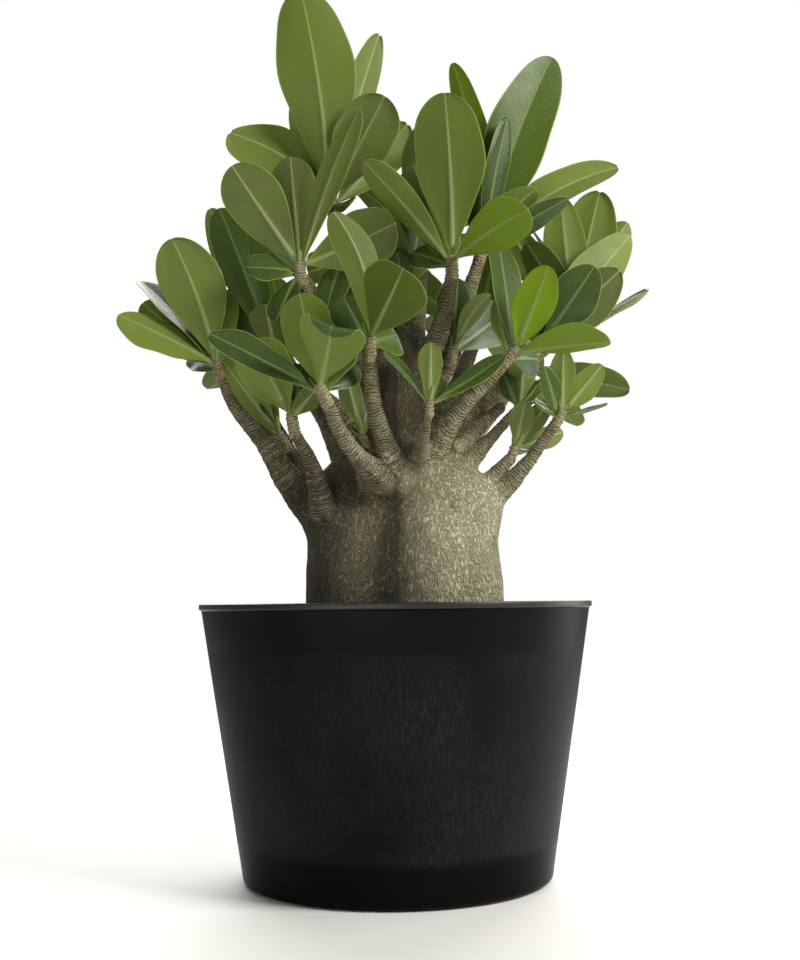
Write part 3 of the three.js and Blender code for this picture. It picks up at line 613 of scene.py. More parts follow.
@dataclass
class Leaf:
    """One leaf, with its angles in radians and its sizes in millimetres"""

    rosette: str
    order: int
    shape: float
    base: np.ndarray
    angle: float
    lean: float
    length: float
    width: float
    turn: float
    bend: float
    fold: float
    sweep: float

    def half_width(self, share):
        """Half of the leaf's width at a share of its length: narrow at the base and round at the tip"""
        past = np.clip((share - self.shape) / (1 - self.shape), 0, 1)
        before = np.sin(np.pi / 2 * np.clip(share / self.shape, 0, 1)) ** LEAF_BASE_NARROWNESS
        swell = np.where(past > 0, np.sqrt(1 - past**2), before)
        return np.maximum(LEAF_BASE_HALF_WIDTH * (1 - share), self.width / 2 * swell)

    def surface(self, share, reach, soft=0):
        """Points on the middle of the blade, reach to its side, and its upper side's direction there"""
        direction, upper, side = leaf_axes(self.angle, self.lean, self.turn)
        bow = 2 * self.length * math.tan(self.bend / 4)
        swing = 2 * self.length * math.tan(self.sweep / 4)
        lift = upper - (bow * (1 - 2 * share) / self.length)[..., None] * direction
        lift /= np.linalg.norm(lift, axis=-1, keepdims=True)
        bulge = share * (1 - share)
        rise = (np.sqrt(reach**2 + soft**2) - soft) * math.sin(self.fold)
        places = (
            self.base
            + (share * self.length)[..., None] * direction
            + (bow * bulge)[..., None] * upper
            + (swing * bulge + reach * math.cos(self.fold))[..., None] * side
            + rise[..., None] * lift
        )
        return places, lift

    def spots(self):
        """Points all over the blade, by which neighbours keep clear"""
        share, across = np.meshgrid(np.arange(1, SPOT_ROWS + 1) / SPOT_ROWS, SPOT_COLUMNS, indexing="ij")
        half = np.where(share == 1, LEAF_TIP_SHARE * self.width / 2, self.half_width(share))
        return self.surface(share, across * half)[0].reshape(-1, 3)

    def leaned(self, extra):
        """The leaf with another lean, as long as before when seen from the front"""
        if extra == 0:
            return self
        most = math.radians(MOST_LEAN)
        lean = min(max(self.lean + math.radians(extra), -most), most)
        length = min(self.length * math.cos(self.lean) / math.cos(lean), MOST_LENGTHENING * self.length)
        return replace(self, lean=lean, length=length)


def shoot_line(rosette):
    """Foot, tip, radius and first direction of the shoot at a branch's end"""
    points = np.array([p[:3] for p in rosette["branch"]], float)
    tangent = curve_tangent(points, 1)
    foot = points[-1] + GAP * tangent
    return foot, np.array(rosette["tip"], float), rosette["branch"][-1][3], tangent


def make_leaf(rosette, numbers, order):
    """A leaf from its numbers, with its base on the shoot"""
    foot, tip, radius, _ = shoot_line(rosette)
    angle, lean, length, width, *turns = numbers
    turn, bend, fold, sweep = np.radians([*turns, 0][:4])
    down = foot - tip
    out = leaf_axes(math.radians(angle), math.radians(lean), 0)[0]
    out = out - out.dot(down) / down.dot(down) * down
    base = tip + down * min(LEAF_BASE_STEP * order, LOWEST_LEAF_BASE) + out * LEAF_BASE_OUT * radius
    return Leaf(
        rosette["name"], order, rosette["shape"], base, math.radians(angle), math.radians(lean),
        length, width, turn, bend, fold, sweep,
    )


def leaves_behind(rosette):
    """A leaf on the far side of each large rosette, behind its first one as seen from the front"""
    angle, _, length, width, *_ = rosette["leaves"][0]
    if length < HIDDEN_LEAF_LENGTH:
        return []
    return [[
        angle + HIDDEN_LEAF_ASIDE,
        draw(HIDDEN_LEAF_LEAN),
        min(HIDDEN_LEAF_SIZE * length, RULE_LEAF_LENGTH[1]),
        HIDDEN_LEAF_SIZE * width,
        draw(HIDDEN_LEAF_TURN),
        draw(RULE_LEAF_BEND),
        RULE_LEAF_FOLD,
    ]]


def faced(direction, upper):
    """Angle, lean and turn in degrees of a leaf with that direction and upper side"""
    lean = math.asin(-direction[1])
    angle = math.atan2(direction[2], direction[0])
    _, level_upper, level_side = leaf_axes(angle, lean, 0)
    turn = math.atan2(-upper.dot(level_side), upper.dot(level_upper))
    return np.degrees([angle, lean, turn])


def round_axis(axis, order, spread):
    """Direction and upper side of the leaf of that order round an axis, by the golden angle"""
    across = np.array([1.0, 0.0, 0.0])
    across = unit(across - across.dot(axis) * axis)
    turn = math.radians(order * GOLDEN_ANGLE)
    out = across * math.cos(turn) + np.cross(axis, across) * math.sin(turn)
    direction = axis * math.cos(spread) + out * math.sin(spread)
    upper = axis * math.sin(spread) - out * math.cos(spread)
    return direction, upper


def leaves_around(rosette):
    """Leaves round a branch's end, each with its upper face to the branch's axis"""
    axis = shoot_line(rosette)[3]
    numbers = []
    for order in range(rosette["leaves"]):
        spread = math.radians(draw(RULE_LEAF_SPREAD))
        angle, lean, turn = faced(*round_axis(axis, order, spread))
        length = draw(RULE_LEAF_LENGTH)
        width = RULE_LEAF_SLENDERNESS * length
        numbers.append([angle, lean, length, width, turn, draw(RULE_LEAF_BEND), RULE_LEAF_FOLD])
    return numbers


def nearest_on(places, start, end):
    """Distance from places to a line between two points, and how far along it the nearest point is"""
    line = end - start
    along = np.clip((places - start) @ line / line.dot(line), 0, 1)
    return np.linalg.norm(places - start - along[:, None] * line, axis=1), along


def stem_obstacles(rosettes):
    """All stems as (rosette, is a shoot, [(start, end, radius)])"""
    def pieces(stem):
        centres, radii = stem_line(stem, 1 if len(stem) > 3 else 2)
        return [
            (centres[i], centres[i + 1], max(radii[i], radii[i + 1])) for i in range(len(centres) - 1)
        ]
    found = [(rosette["name"], False, pieces(rosette["branch"])) for rosette in rosettes]
    for rosette in rosettes:
        foot, tip, radius, _ = shoot_line(rosette)
        found.append((rosette["name"], True, [(foot, tip, radius)]))
    return found + [(None, False, pieces(stem)) for stem in [LEADER, *BARE_STEMS]]


def room_share(leaf, spots, placed, stems):
    """How far a leaf stays from other leaves and stems, as a share of what it needs"""
    room = 1.0
    for other, other_spots in placed:
        if np.linalg.norm(other.base - leaf.base) > other.length + leaf.length + BLADE_SPACING:
            continue
        own = other.rosette == leaf.rosette
        first = OWN_FREE_ROWS * len(SPOT_COLUMNS) if own else 0
        gaps = spots[first:, None] - other_spots[None, first:]
        nearest = math.sqrt((gaps**2).sum(-1).min())
        room = min(room, nearest / (OWN_BLADE_SPACING if own else BLADE_SPACING))
    for name, is_shoot, pieces in stems:
        own = name == leaf.rosette
        if is_shoot and own:
            continue
        first = len(SPOT_COLUMNS) if own else 0
        for start, end, radius in pieces:
            distance, _ = nearest_on(spots[first:], start, end)
            room = min(room, (distance.min() - radius) / STEM_SPACING)
    return room


def place_leaf(leaf, placed, stems):
    """Adds the leaf with the first lean that leaves room all round, or else the one that leaves most"""
    best, best_room = None, -math.inf
    for extra in LEAN_TRIES:
        tried = leaf.leaned(extra)
        spots = tried.spots()
        room = room_share(tried, spots, placed, stems)
        if room > best_room:
            best, best_room = (tried, spots), room
        if room >= 1:
            break
    placed.append(best)


def place_all_leaves():
    """Every leaf of the plant, placed by the same rule as the solids"""
    back = [
        dict(name=f"rosette_back_{number}", shape=SPOON, branch=branch, tip=tip, leaves=leaves)
        for number, (leaves, tip, branch) in enumerate(BACK_ROSETTES, 1)
    ]
    rosettes = ROSETTES + back
    stems = stem_obstacles(rosettes)
    placed = []

    def place(rosette, numbers, first):
        for order, leaf in enumerate(numbers):
            place_leaf(make_leaf(rosette, leaf, first + order), placed, stems)

    for rosette in ROSETTES:
        place(rosette, rosette["leaves"], 0)
    for rosette in ROSETTES:
        place(rosette, leaves_behind(rosette), len(rosette["leaves"]))
    for rosette in back:
        place(rosette, leaves_around(rosette), 0)
    return rosettes, [leaf for leaf, _ in placed]


# Meshes


class Patch:
    """Vertices, faces and vertex values that are gathered into one mesh"""

    def __init__(self):
        self.places, self.faces, self.kinds, self.blade, self.look = [], [], [], [], []
        self.count = 0

    def add(self, places, faces, kinds, blade=None, look=None):
        """Adds points in mm, faces that number them from 0, a material number for each face, and for each
        point its place on a leaf in mm and its look (share of length, share of width, freshness, tone)"""
        size = len(places)
        self.places.append(places)
        self.faces += [[i + self.count for i in face] for face in faces]
        self.kinds += kinds
        self.blade.append(np.zeros((size, 2)) if blade is None else blade)
        self.look.append(np.zeros((size, 4)) if look is None else look)
        self.count += size

    def to_object(self, name, materials):
        mesh = bpy.data.meshes.new(name)
        places = np.concatenate(self.places) * MM
        mesh.from_pydata(places.tolist(), [], self.faces)
        for material in materials:
            mesh.materials.append(material)
        mesh.polygons.foreach_set("material_index", self.kinds)
        mesh.polygons.foreach_set("use_smooth", [True] * len(mesh.polygons))
        corners = np.zeros(len(mesh.loops), int)
        mesh.loops.foreach_get("vertex_index", corners)
        blade = mesh.uv_layers.new(name="blade")
        blade.uv.foreach_set("vector", (np.concatenate(self.blade) * MM)[corners].ravel())
        look = mesh.attributes.new("look", "FLOAT_COLOR", "POINT")
        look.data.foreach_set("color", np.concatenate(self.look).ravel())
        mesh.validate()
        return add_object(name, mesh)


def add_object(name, mesh):
    made = bpy.data.objects.new(name, mesh)
    bpy.context.scene.collection.objects.link(made)
    return made


def grid_faces(rows, columns, start=0, flipped=False, closed=False):
    """Four-sided faces of a grid of points, closed round its columns if asked"""
    faces = []
    for i in range(rows - 1):
        for j in range(columns if closed else columns - 1):
            a = start + i * columns + j
            b = start + i * columns + (j + 1) % columns
            face = [a, a + columns, b + columns, b]
            faces.append(face[::-1] if flipped else face)
    return faces


def rim_faces(rows, columns):
    """Faces between the edges of two grids of points, the second one after the first"""
    second = rows * columns
    ring = [i * columns for i in range(rows)]
    ring += [(rows - 1) * columns + j for j in range(1, columns)]
    ring += [i * columns + columns - 1 for i in reversed(range(rows - 1))]
    ring += [j for j in reversed(range(1, columns - 1))]
    faces = []
    for i, a in enumerate(ring):
        b = ring[(i + 1) % len(ring)]
        faces.append([a, a + second, b + second, b])
    return faces


def bent_surface(leaf, share, reach):
    """The blade's middle surface, with a tip that folds over where the leaf has one"""
    if (leaf.rosette, leaf.order) not in FOLDED_TIPS:
        return leaf.surface(share, reach, FOLD_SOFTNESS)
    start, end, degrees = FOLDED_TIPS[leaf.rosette, leaf.order]
    length = FOLDED_LEAF_LENGTH_SHARE * leaf.length
    middle, lift = replace(leaf, length=length).surface(np.minimum(share, start), reach, FOLD_SOFTNESS)
    ahead = unit(np.cross(leaf_axes(leaf.angle, leaf.lean, leaf.turn)[2], lift[-1, 0]))
    radius = (end - start) * length / np.radians(degrees)
    turn = np.radians(degrees) * np.clip((share - start) / (end - start), 0, 1)
    hanging = np.maximum(share - end, 0) * length
    forward = radius * np.sin(turn) + hanging * np.cos(turn)
    down = radius * (1 - np.cos(turn)) + hanging * np.sin(turn)
    middle = middle + forward[..., None] * ahead - down[..., None] * lift
    return middle, np.cos(turn)[..., None] * lift + np.sin(turn)[..., None] * ahead


def leaf_rows(leaf):
    """How many rows of points a leaf has"""
    if (leaf.rosette, leaf.order) in FOLDED_TIPS:
        return FOLDED_LEAF_ROWS
    return LONG_LEAF_ROWS if leaf.length > LONG_LEAF else SHORT_LEAF_ROWS


def blade_middle(leaf, share, across, chance):
    """The blade's waved and quilted middle, with its reach to the side and its upper side's direction"""
    reach = across * leaf.half_width(share)
    sides = np.where(across > 0, *chance.uniform(0, 1, 2))
    uneven = np.sin(2 * np.pi * (chance.uniform(*EDGE_LUMPS) * share + sides))
    reach = reach * (1 + EDGE_UNEVENNESS * uneven * np.abs(across))
    middle, lift = bent_surface(leaf, share, reach)

    waves = chance.uniform(*EDGE_WAVES) * share + sides
    wave = EDGE_WAVE * leaf.width * np.abs(across) ** 2.4 * np.sin(2 * np.pi * waves)
    wave = wave * np.sin(np.pi * share) ** 0.5
    roll = chance.uniform(*EDGE_ROLL) * leaf.width * smooth(0.4, 1.0, np.abs(across)) ** 2
    vein_rows = np.cos(2 * np.pi * ((share * leaf.length - np.abs(reach)) / VEIN_SPACING))
    quilt = QUILT_HEIGHT * vein_rows * np.sin(np.pi * np.abs(across)) * smooth(0.1, 0.3, share)
    return reach, middle + (wave + quilt - roll)[..., None] * lift, lift


def leaf_look(leaf, share, across, chance):
    """What the leaf's materials read at each point: share of length and of width, freshness and tone"""
    fresh = FRESH_LEAVES.get(leaf.rosette, {}).get(leaf.order, chance.uniform(*LITTLE_FRESHNESS))
    tone = LEAF_TONES.get((leaf.rosette, leaf.order), chance.uniform(0, 1))
    look = [share, np.abs(across), np.full(share.shape, fresh), np.full(share.shape, tone)]
    return np.stack(look, -1).reshape(-1, 4)


def add_leaf(patch, leaf, chance):
    """A closed blade with a raised midrib, a soft fold and a slightly waved edge"""
    rows, columns = leaf_rows(leaf), len(LEAF_COLUMNS)
    shares = LEAF_END * (1 - (1 - np.linspace(0, 1, rows)) ** 1.5)
    share, across = np.meshgrid(shares, LEAF_COLUMNS, indexing="ij")
    reach, middle, lift = blade_middle(leaf, share, across, chance)

    inner = (1 - np.abs(across) ** 3) * (1 - TIP_THINNING * share)
    thickness = EDGE_THICKNESS + (BLADE - EDGE_THICKNESS) * inner
    rib_width = RIB_HALF_WIDTH[0] + (RIB_HALF_WIDTH[1] - RIB_HALF_WIDTH[0]) * share
    rib = np.exp(-((reach / rib_width) ** 2)) * RIB_HEIGHT * (1 - share) ** 0.7
    upper = middle + (thickness / 2 - RIB_ON_UPPER_FACE * rib)[..., None] * lift
    lower = middle - (thickness / 2 + rib)[..., None] * lift

    upper_faces = grid_faces(rows, columns)
    lower_faces = grid_faces(rows, columns, rows * columns, flipped=True) + rim_faces(rows, columns)
    blade = np.stack([reach, share * leaf.length], -1).reshape(-1, 2)
    look = leaf_look(leaf, share, across, chance)
    patch.add(
        np.concatenate([upper.reshape(-1, 3), lower.reshape(-1, 3)]),
        upper_faces + lower_faces,
        [0] * len(upper_faces) + [1] * len(lower_faces),
        np.concatenate([blade, blade]),
        np.concatenate([look, look]),
    )


def ring_points(centres, tangents, radii, sides):
    """Rings of points round a line, with the same start on each"""
    turns = ring_turns(sides)[:, None]
    rings = []
    for centre, tangent, across, radius in zip(centres, tangents, line_sides(tangents), radii):
        up = np.cross(tangent, across)
        rings.append(centre + radius * (np.cos(turns) * across + np.sin(turns) * up))
    return np.array(rings)


def add_tube(patch, rings, kind=2, look=None, blade=None):
    """A closed skin through rings of points"""
    rows, sides = rings.shape[:2]
    faces = grid_faces(rows, sides, flipped=True, closed=True)
    last = (rows - 1) * sides
    faces += [list(range(sides))[::-1], [last + i for i in range(sides)]]
    patch.add(rings.reshape(-1, 3), faces, [kind] * len(faces), blade, look)


def add_bud(patch, rosette, tip, axis, order, chance):
    """One small upright leaf at the end of a shoot"""
    spread = math.radians(BUD_SPREAD + BUD_SPREAD_STEP * order)
    direction, upper = round_axis(axis, order + chance.uniform(0, 0.5), spread)
    angle, lean, turn = np.radians(faced(direction, upper))
    length = chance.uniform(*BUD_LENGTH) + BUD_LENGTH_STEP * order
    bud = Leaf(
        rosette["name"], BUD_ORDER + order, OVAL, tip - axis, angle, lean, length,
        BUD_SLENDERNESS * length, turn, BUD_BEND, BUD_FOLD, 0.0,
    )
    add_leaf(patch, bud, chance)


def add_shoot(patch, rosette, chance):
    """The end of the stem that the leaves grow from, with the rings of shed leaves and a bud"""
    foot, tip, radius, tangent = shoot_line(rosette)
    radius = radius * WOOD_THINNING
    start = foot - tangent * (GAP + 0.7 * radius)
    axis = unit(tip - foot)
    shares = np.linspace(0, 1, SHOOT_ROWS)
    points = np.array([start, foot, tip - 0.5 * radius * axis, tip + 0.4 * radius * axis])
    centres = np.array([curve_point(points, share) for share in shares])
    along = line_lengths(centres)
    sizes = np.interp(shares, *SHOOT_SIZES)
    ledges = SHOOT_LEDGE * np.sin(2 * np.pi * along / SCAR_SPACING + chance.uniform(0, 6))
    rings = ring_points(centres, line_tangents(centres), radius * sizes + ledges, SHOOT_SIDES)
    turns = ring_turns(SHOOT_SIDES)
    look = np.zeros((SHOOT_ROWS, SHOOT_SIDES, 4))
    look[..., 0] = shares[:, None]
    look[..., 1] = 0.5 + 0.5 * np.cos(turns)
    look[..., 2] = 0.5 + 0.5 * np.sin(turns)
    look[..., 3] = chance.uniform(0, 1)
    blade = np.zeros((SHOOT_ROWS, SHOOT_SIDES, 2))
    blade[..., 1] = along[:, None] + chance.uniform(0, 500)
    add_tube(patch, rings, look=look.reshape(-1, 4), blade=blade.reshape(-1, 2))
    for order in range(BUD_LEAVES):
        add_bud(patch, rosette, tip, axis, order, chance)


def rosette_object(rosette, leaves, materials, seed):
    chance = np.random.default_rng(seed)
    patch = Patch()
    for leaf in leaves:
        add_leaf(patch, leaf, chance)
    add_shoot(patch, rosette, chance)
    return patch.to_object(rosette["name"] + "_leaves", materials)


# Wood


def lobe_points(sections):
    """Rings of an upright lobe, smooth from section to section"""
    sections = np.array(sections, float)
    shares = np.arange(LOBE_STEPS) / (LOBE_STEPS - 1)
    rings = np.array([curve_point(sections, share) for share in shares])
    turns = ring_turns(LOBE_STEPS)
    x = rings[:, 0, None] + rings[:, 3, None] * np.cos(turns)
    y = rings[:, 1, None] + rings[:, 4, None] * np.sin(turns)
    z = np.repeat(rings[:, 2, None], LOBE_STEPS, axis=1)
    return np.stack([x, y, z], -1), rings


def lobe_distance(places, rings):
    """Rough distance from places to a lobe's skin"""
    x, y, wide, deep = (np.interp(places[:, 2], rings[:, 2], rings[:, k]) for k in (0, 1, 3, 4))
    off = np.hypot(places[:, 0] - x, places[:, 1] - y) + 1e-9
    size = np.hypot((places[:, 0] - x) / wide, (places[:, 1] - y) / deep) + 1e-9
    beside = off * (1 - 1 / size)
    above = places[:, 2] - rings[-1, 2]
    below = rings[0, 2] - places[:, 2]
    return np.maximum(beside, np.maximum(above, below))


def joined(first, second, softness):
    """Distance to two forms that flow into each other"""
    share = np.clip(0.5 + (second - first) / (2 * softness), 0, 1)
    return second + (first - second) * share - softness * share * (1 - share)


class Wood:
    """The trunk and all its stems, as a smooth form that tells its distance from any point"""

    def __init__(self, stems):
        self.lobes = [lobe_points(sections) for sections in (LEFT_LOBE, RIGHT_LOBE)]
        self.stems = []
        for stem in stems:
            centres, radii = stem_line(stem, STEM_STEPS)
            tangents = line_tangents(centres)
            self.stems.append(
                (centres, radii * WOOD_THINNING, tangents, line_sides(tangents), line_lengths(centres))
            )

    def close_by(self, places, index):
        """Which places may be near a stem"""
        centres, radii, *_ = self.stems[index]
        margin = radii.max() + 2 * TRUNK_SOFTNESS
        return ((places > centres.min(0) - margin) & (places < centres.max(0) + margin)).all(1)

    def near_stem(self, places, index):
        """Distance to a stem's skin, how far along it, and which step of its line is nearest"""
        centres, radii, _, _, start = self.stems[index]
        best = np.full(len(places), np.inf)
        along = np.zeros(len(places))
        step = np.zeros(len(places), int)
        last = len(centres) - 2
        for i in range(last + 1):
            end = centres[i + 1]
            if i == last:
                end = centres[i + 1] - unit(centres[i + 1] - centres[i]) * 0.5 * radii[i + 1]
            distance, share = nearest_on(places, centres[i], end)
            distance = distance - radii[i] - (radii[i + 1] - radii[i]) * share
            closer = distance < best
            best[closer] = distance[closer]
            along[closer] = start[i] + (start[i + 1] - start[i]) * share[closer]
            step[closer] = i
        return best, along, step

    def trunk_distance(self, places):
        left, right = (lobe_distance(places, rings) for _, rings in self.lobes)
        return joined(left, right, LOBE_SOFTNESS)

    def distance(self, places):
        """Distance to the whole form"""
        total = self.trunk_distance(places)
        for index, (_, radii, *_) in enumerate(self.stems):
            near = self.close_by(places, index)
            stem, _, _ = self.near_stem(places[near], index)
            softness = np.clip(JOIN_SHARE * radii.max(), LEAST_JOIN_SOFTNESS, JOIN_SOFTNESS)
            total[near] = joined(total[near], stem, softness)
        return total

    def bark_places(self, places):
        """For each place, how much it is free stem and not trunk, how near it is to the stem's young end,
        and its place along a straightened stem"""
        best = np.full(len(places), np.inf)
        grain = places.copy()
        size = np.full(len(places), np.inf)
        left = np.full(len(places), np.inf)
        for index, (centres, radii, tangents, across, start) in enumerate(self.stems[1:], 1):
            near = self.close_by(places, index)
            distance, far, step = self.near_stem(places[near], index)
            closer = distance < best[near]
            chosen = np.flatnonzero(near)[closer]
            step, far = step[closer], far[closer]
            best[chosen] = distance[closer]
            size[chosen] = radii[step]
            left[chosen] = start[-1] - far
            out = places[chosen] - centres[step]
            x = (out * across[step]).sum(1)
            y = (out * np.cross(tangents[step], across[step])).sum(1)
            grain[chosen] = np.stack([x, y, far + GRAIN_OFFSET * index], 1)
        leader, _, _ = self.near_stem(places, 0)
        body = joined(self.trunk_distance(places), leader, TRUNK_SOFTNESS)
        free = smooth(*FREE_STEM, body - best) * (1 - smooth(*THICK_STEM, size))
        return np.where(best < STEM_REACH, free, 0), smooth(YOUNG_WOOD, 0, left), grain


def wood_mesh(wood, voxel):
    """One closed skin over trunk and stems"""
    patch = Patch()
    for rings, _ in wood.lobes:
        add_tube(patch, rings, kind=0)
    for centres, radii, tangents, _, _ in wood.stems:
        add_tube(patch, ring_points(centres, tangents, radii, STEM_SKIN_SIDES), kind=0)
    source = patch.to_object("wood_source", [])
    remesh = source.modifiers.new("skin", "REMESH")
    remesh.mode = "VOXEL"
    remesh.voxel_size = voxel * MM
    return applied(source)


def applied(source):
    """The mesh of an object with its modifiers applied. The object is removed."""
    graph = bpy.context.evaluated_depsgraph_get()
    mesh = bpy.data.meshes.new_from_object(source.evaluated_get(graph))
    bpy.data.objects.remove(source)
    return mesh


def vertex_places(mesh):
    places = np.zeros(len(mesh.vertices) * 3)
    mesh.vertices.foreach_get("co", places)
    return places.reshape(-1, 3) / MM


def move_vertices(mesh, places):
    mesh.vertices.foreach_set("co", (places * MM).ravel())
    mesh.update()


def vertex_normals(mesh):
    normals = np.zeros(len(mesh.vertices) * 3)
    mesh.vertex_normals.foreach_get("vector", normals)
    return normals.reshape(-1, 3)


def scar_rings(grain, free):
    """Height of the rings and crescents that shed leaves left on a stem"""
    turn = np.arctan2(grain[:, 1], grain[:, 0])
    wobble = 0.9 * np.sin(turn + 0.41 * grain[:, 2]) + 0.5 * np.sin(3 * turn - 0.23 * grain[:, 2])
    rows = (grain[:, 2] + wobble) / SCAR_SPACING
    index = np.floor(rows)
    t = rows - index
    chance = np.abs(np.sin(index * 12.9898) * 43758.5453) % 1
    ledge = t**1.3 * (1 - smooth(0.8, 1.0, t))
    crescent = 0.55 + 0.45 * np.cos(turn - index * math.radians(GOLDEN_ANGLE))
    return SCAR_DEPTH * free * (1.7 * ledge * (0.55 + 0.6 * chance) * crescent - 0.35)


def trunk_scars(places):
    """Height of the round scars of shed twigs"""
    height = np.zeros(len(places))
    for x, y, z, radius in TRUNK_SCARS:
        off = np.hypot(places[:, 0] - x, places[:, 2] - z)
        facing = places[:, 1] < y + SCAR_REACH
        ring = SCAR_RING_HEIGHT * np.exp(-(((off - radius) / (0.35 * radius)) ** 2))
        height += np.where(facing, ring + 0.5 * np.exp(-((off / (1.6 * radius)) ** 2)), 0)
    return height


def ripple(places, scale, seed):
    """Soft uneven lumps, from a few crossed waves that start at random"""
    chance = np.random.default_rng(seed)
    total = np.zeros(len(places))
    for _ in range(RIPPLE_WAVES):
        wave = chance.normal(size=3)
        total += np.sin(places @ (unit(wave) * chance.uniform(0.6, 1.7) / scale) + chance.uniform(0, 6.3))
    return total / (RIPPLE_WAVES / 2)


def settled(mesh, wood):
    """Moves the rough skin onto the smooth form and returns its vertices"""
    places = vertex_places(mesh)
    for _ in range(SETTLING_ROUNDS):
        step = np.clip(wood.distance(places), -SETTLING_STEP, SETTLING_STEP)
        places = places - vertex_normals(mesh) * step[:, None]
        move_vertices(mesh, places)
    return places


def bark_height(places, free, grain):
    """Height of the bark's scars, rings, lumps and wrinkles over the smooth form"""
    lumps = 0.5 * ripple(places, 9, 1) * (1 - 0.4 * free) + 0.22 * ripple(places, 3.2, 2)
    trunk_wrinkles = 0.18 * ripple(places * [1, 1, 0.3], 1.6, 3) * (1 - free)
    return scar_rings(grain, free) + lumps + trunk_wrinkles + trunk_scars(places)


def thinned(mesh, most):
    """The mesh with no more than that many triangles"""
    mesh.calc_loop_triangles()
    triangles = len(mesh.loop_triangles)
    if triangles <= most:
        return mesh
    source = add_object("thick_wood", mesh)
    source.modifiers.new("thin", "DECIMATE").ratio = most / triangles
    return applied(source)


def wood_object(stems, material):
    """Trunk, limbs and stems under one skin of bark, which tells its material where it is stem or trunk"""
    wood = Wood(stems)
    mesh = wood_mesh(wood, WOOD_VOXEL)
    places = settled(mesh, wood)
    free, _, grain = wood.bark_places(places)
    move_vertices(mesh, places + vertex_normals(mesh) * bark_height(places, free, grain)[:, None])
    mesh = thinned(mesh, WOOD_TRIANGLES)
    places = vertex_places(mesh)
    free, young, grain = wood.bark_places(places)
    scar = np.clip(trunk_scars(places) / SCAR_RING_HEIGHT, 0, 1)
    look = mesh.attributes.new("bark", "FLOAT_COLOR", "POINT")
    look.data.foreach_set("color", np.stack([free, young, scar, 0 * free], 1).ravel())
    straight = mesh.attributes.new("grain", "FLOAT_VECTOR", "POINT")
    straight.data.foreach_set("vector", (grain * MM).ravel())
    mesh.polygons.foreach_set("use_smooth", [True] * len(mesh.polygons))
    mesh.materials.clear()
    mesh.materials.append(material)
    return add_object("trunk_and_branches_bark", mesh)


# Pot and soil


def wall_radius(height):
    return BASE_RADIUS + (WALL_TOP_RADIUS - BASE_RADIUS) * height / POT_HEIGHT


def rounded(centre, radius, start, end, steps):
    """Points [radius, height] on an arc, with angles in degrees from straight out towards up"""
    turns = np.radians(np.linspace(start, end, steps))
    return [[centre[0] + radius * math.cos(t), centre[1] + radius * math.sin(t)] for t in turns]


def pot_profile():
    """The pot's section from the middle of its underside, round the lip, to the middle of its floor"""
    lip_foot = POT_HEIGHT - LIP_HEIGHT
    corner = [wall_radius(BASE_CORNER) - BASE_CORNER, BASE_CORNER]
    wall_heights = np.linspace(BASE_CORNER + 1, lip_foot - 0.6, OUTER_WALL_POINTS)
    inner_heights = np.linspace(POT_HEIGHT - 1.2, POT_FLOOR + 2, INNER_WALL_POINTS)
    outer = RIM_RADIUS - LIP_ROUNDING
    lip_inner = WALL_TOP_RADIUS - POT_WALL + INNER_LIP_ROUNDING
    return [
        [PROFILE_START, 0], [30, 0], [60, 0], [corner[0] - 6, 0],
        *rounded(corner, BASE_CORNER, -90, -8, 8),
        *[[wall_radius(height), height] for height in wall_heights],
        *rounded([outer, lip_foot + LIP_ROUNDING], LIP_ROUNDING, -80, 0, 5),
        *rounded([outer, POT_HEIGHT - LIP_ROUNDING], LIP_ROUNDING, 0, 90, 5),
        *rounded([lip_inner, POT_HEIGHT - INNER_LIP_ROUNDING], INNER_LIP_ROUNDING, 90, 180, 4),
        *[[wall_radius(height) - POT_WALL, height] for height in inner_heights],
        [wall_radius(POT_FLOOR) - POT_WALL - 3, POT_FLOOR], [60, POT_FLOOR], [PROFILE_START, POT_FLOOR],
    ]


def lathe_object(name, profile, sides, material):
    """A closed turned form"""
    turns = ring_turns(sides)
    patch = Patch()
    add_tube(patch, np.array([level_ring(turns, out, height) for out, height in profile]), kind=0)
    return patch.to_object(name, [material])


def drain_cutter():
    """Upright rods where the pot's floor has its drain holes"""
    holes = Patch()
    up = np.array([0.0, 0.0, 1.0])
    for centre in level_ring(ring_turns(DRAIN_HOLES), DRAIN_CIRCLE_RADIUS, 0):
        ends = [centre - DRAIN_CUTTER_EXCESS * up, centre + (POT_FLOOR + DRAIN_CUTTER_EXCESS) * up]
        add_tube(holes, ring_points(ends, [up, up], [DRAIN_HOLE_RADIUS] * 2, DRAIN_HOLE_SIDES), kind=0)
    return holes.to_object("drain_cutter", [])


def pot_object(material):
    """The pot with its drain holes cut"""
    source = lathe_object("pot_shell", pot_profile(), POT_SIDES, material)
    cutter = drain_cutter()
    cut = source.modifiers.new("drain", "BOOLEAN")
    cut.operation = "DIFFERENCE"
    cut.solver = "EXACT"
    cut.object = cutter
    mesh = applied(source)
    bpy.data.objects.remove(cutter)
    mesh.set_sharp_from_angle(angle=math.radians(40))
    return add_object("pot_shell", mesh)


def soil_height(x, y):
    """Height of the soil's uneven top"""
    places = np.stack([x, y, np.zeros_like(x)], -1).reshape(-1, 3)
    uneven = sum(height * ripple(places, size, seed) for height, size, seed in SOIL_LUMPS)
    out = np.hypot(x, y) / (wall_radius(SOIL_TOP) - POT_WALL)
    return SOIL_TOP + SOIL_MOUND * (1 - smooth(0.35, 1.0, out)) * 0.8 + uneven.reshape(np.shape(x))


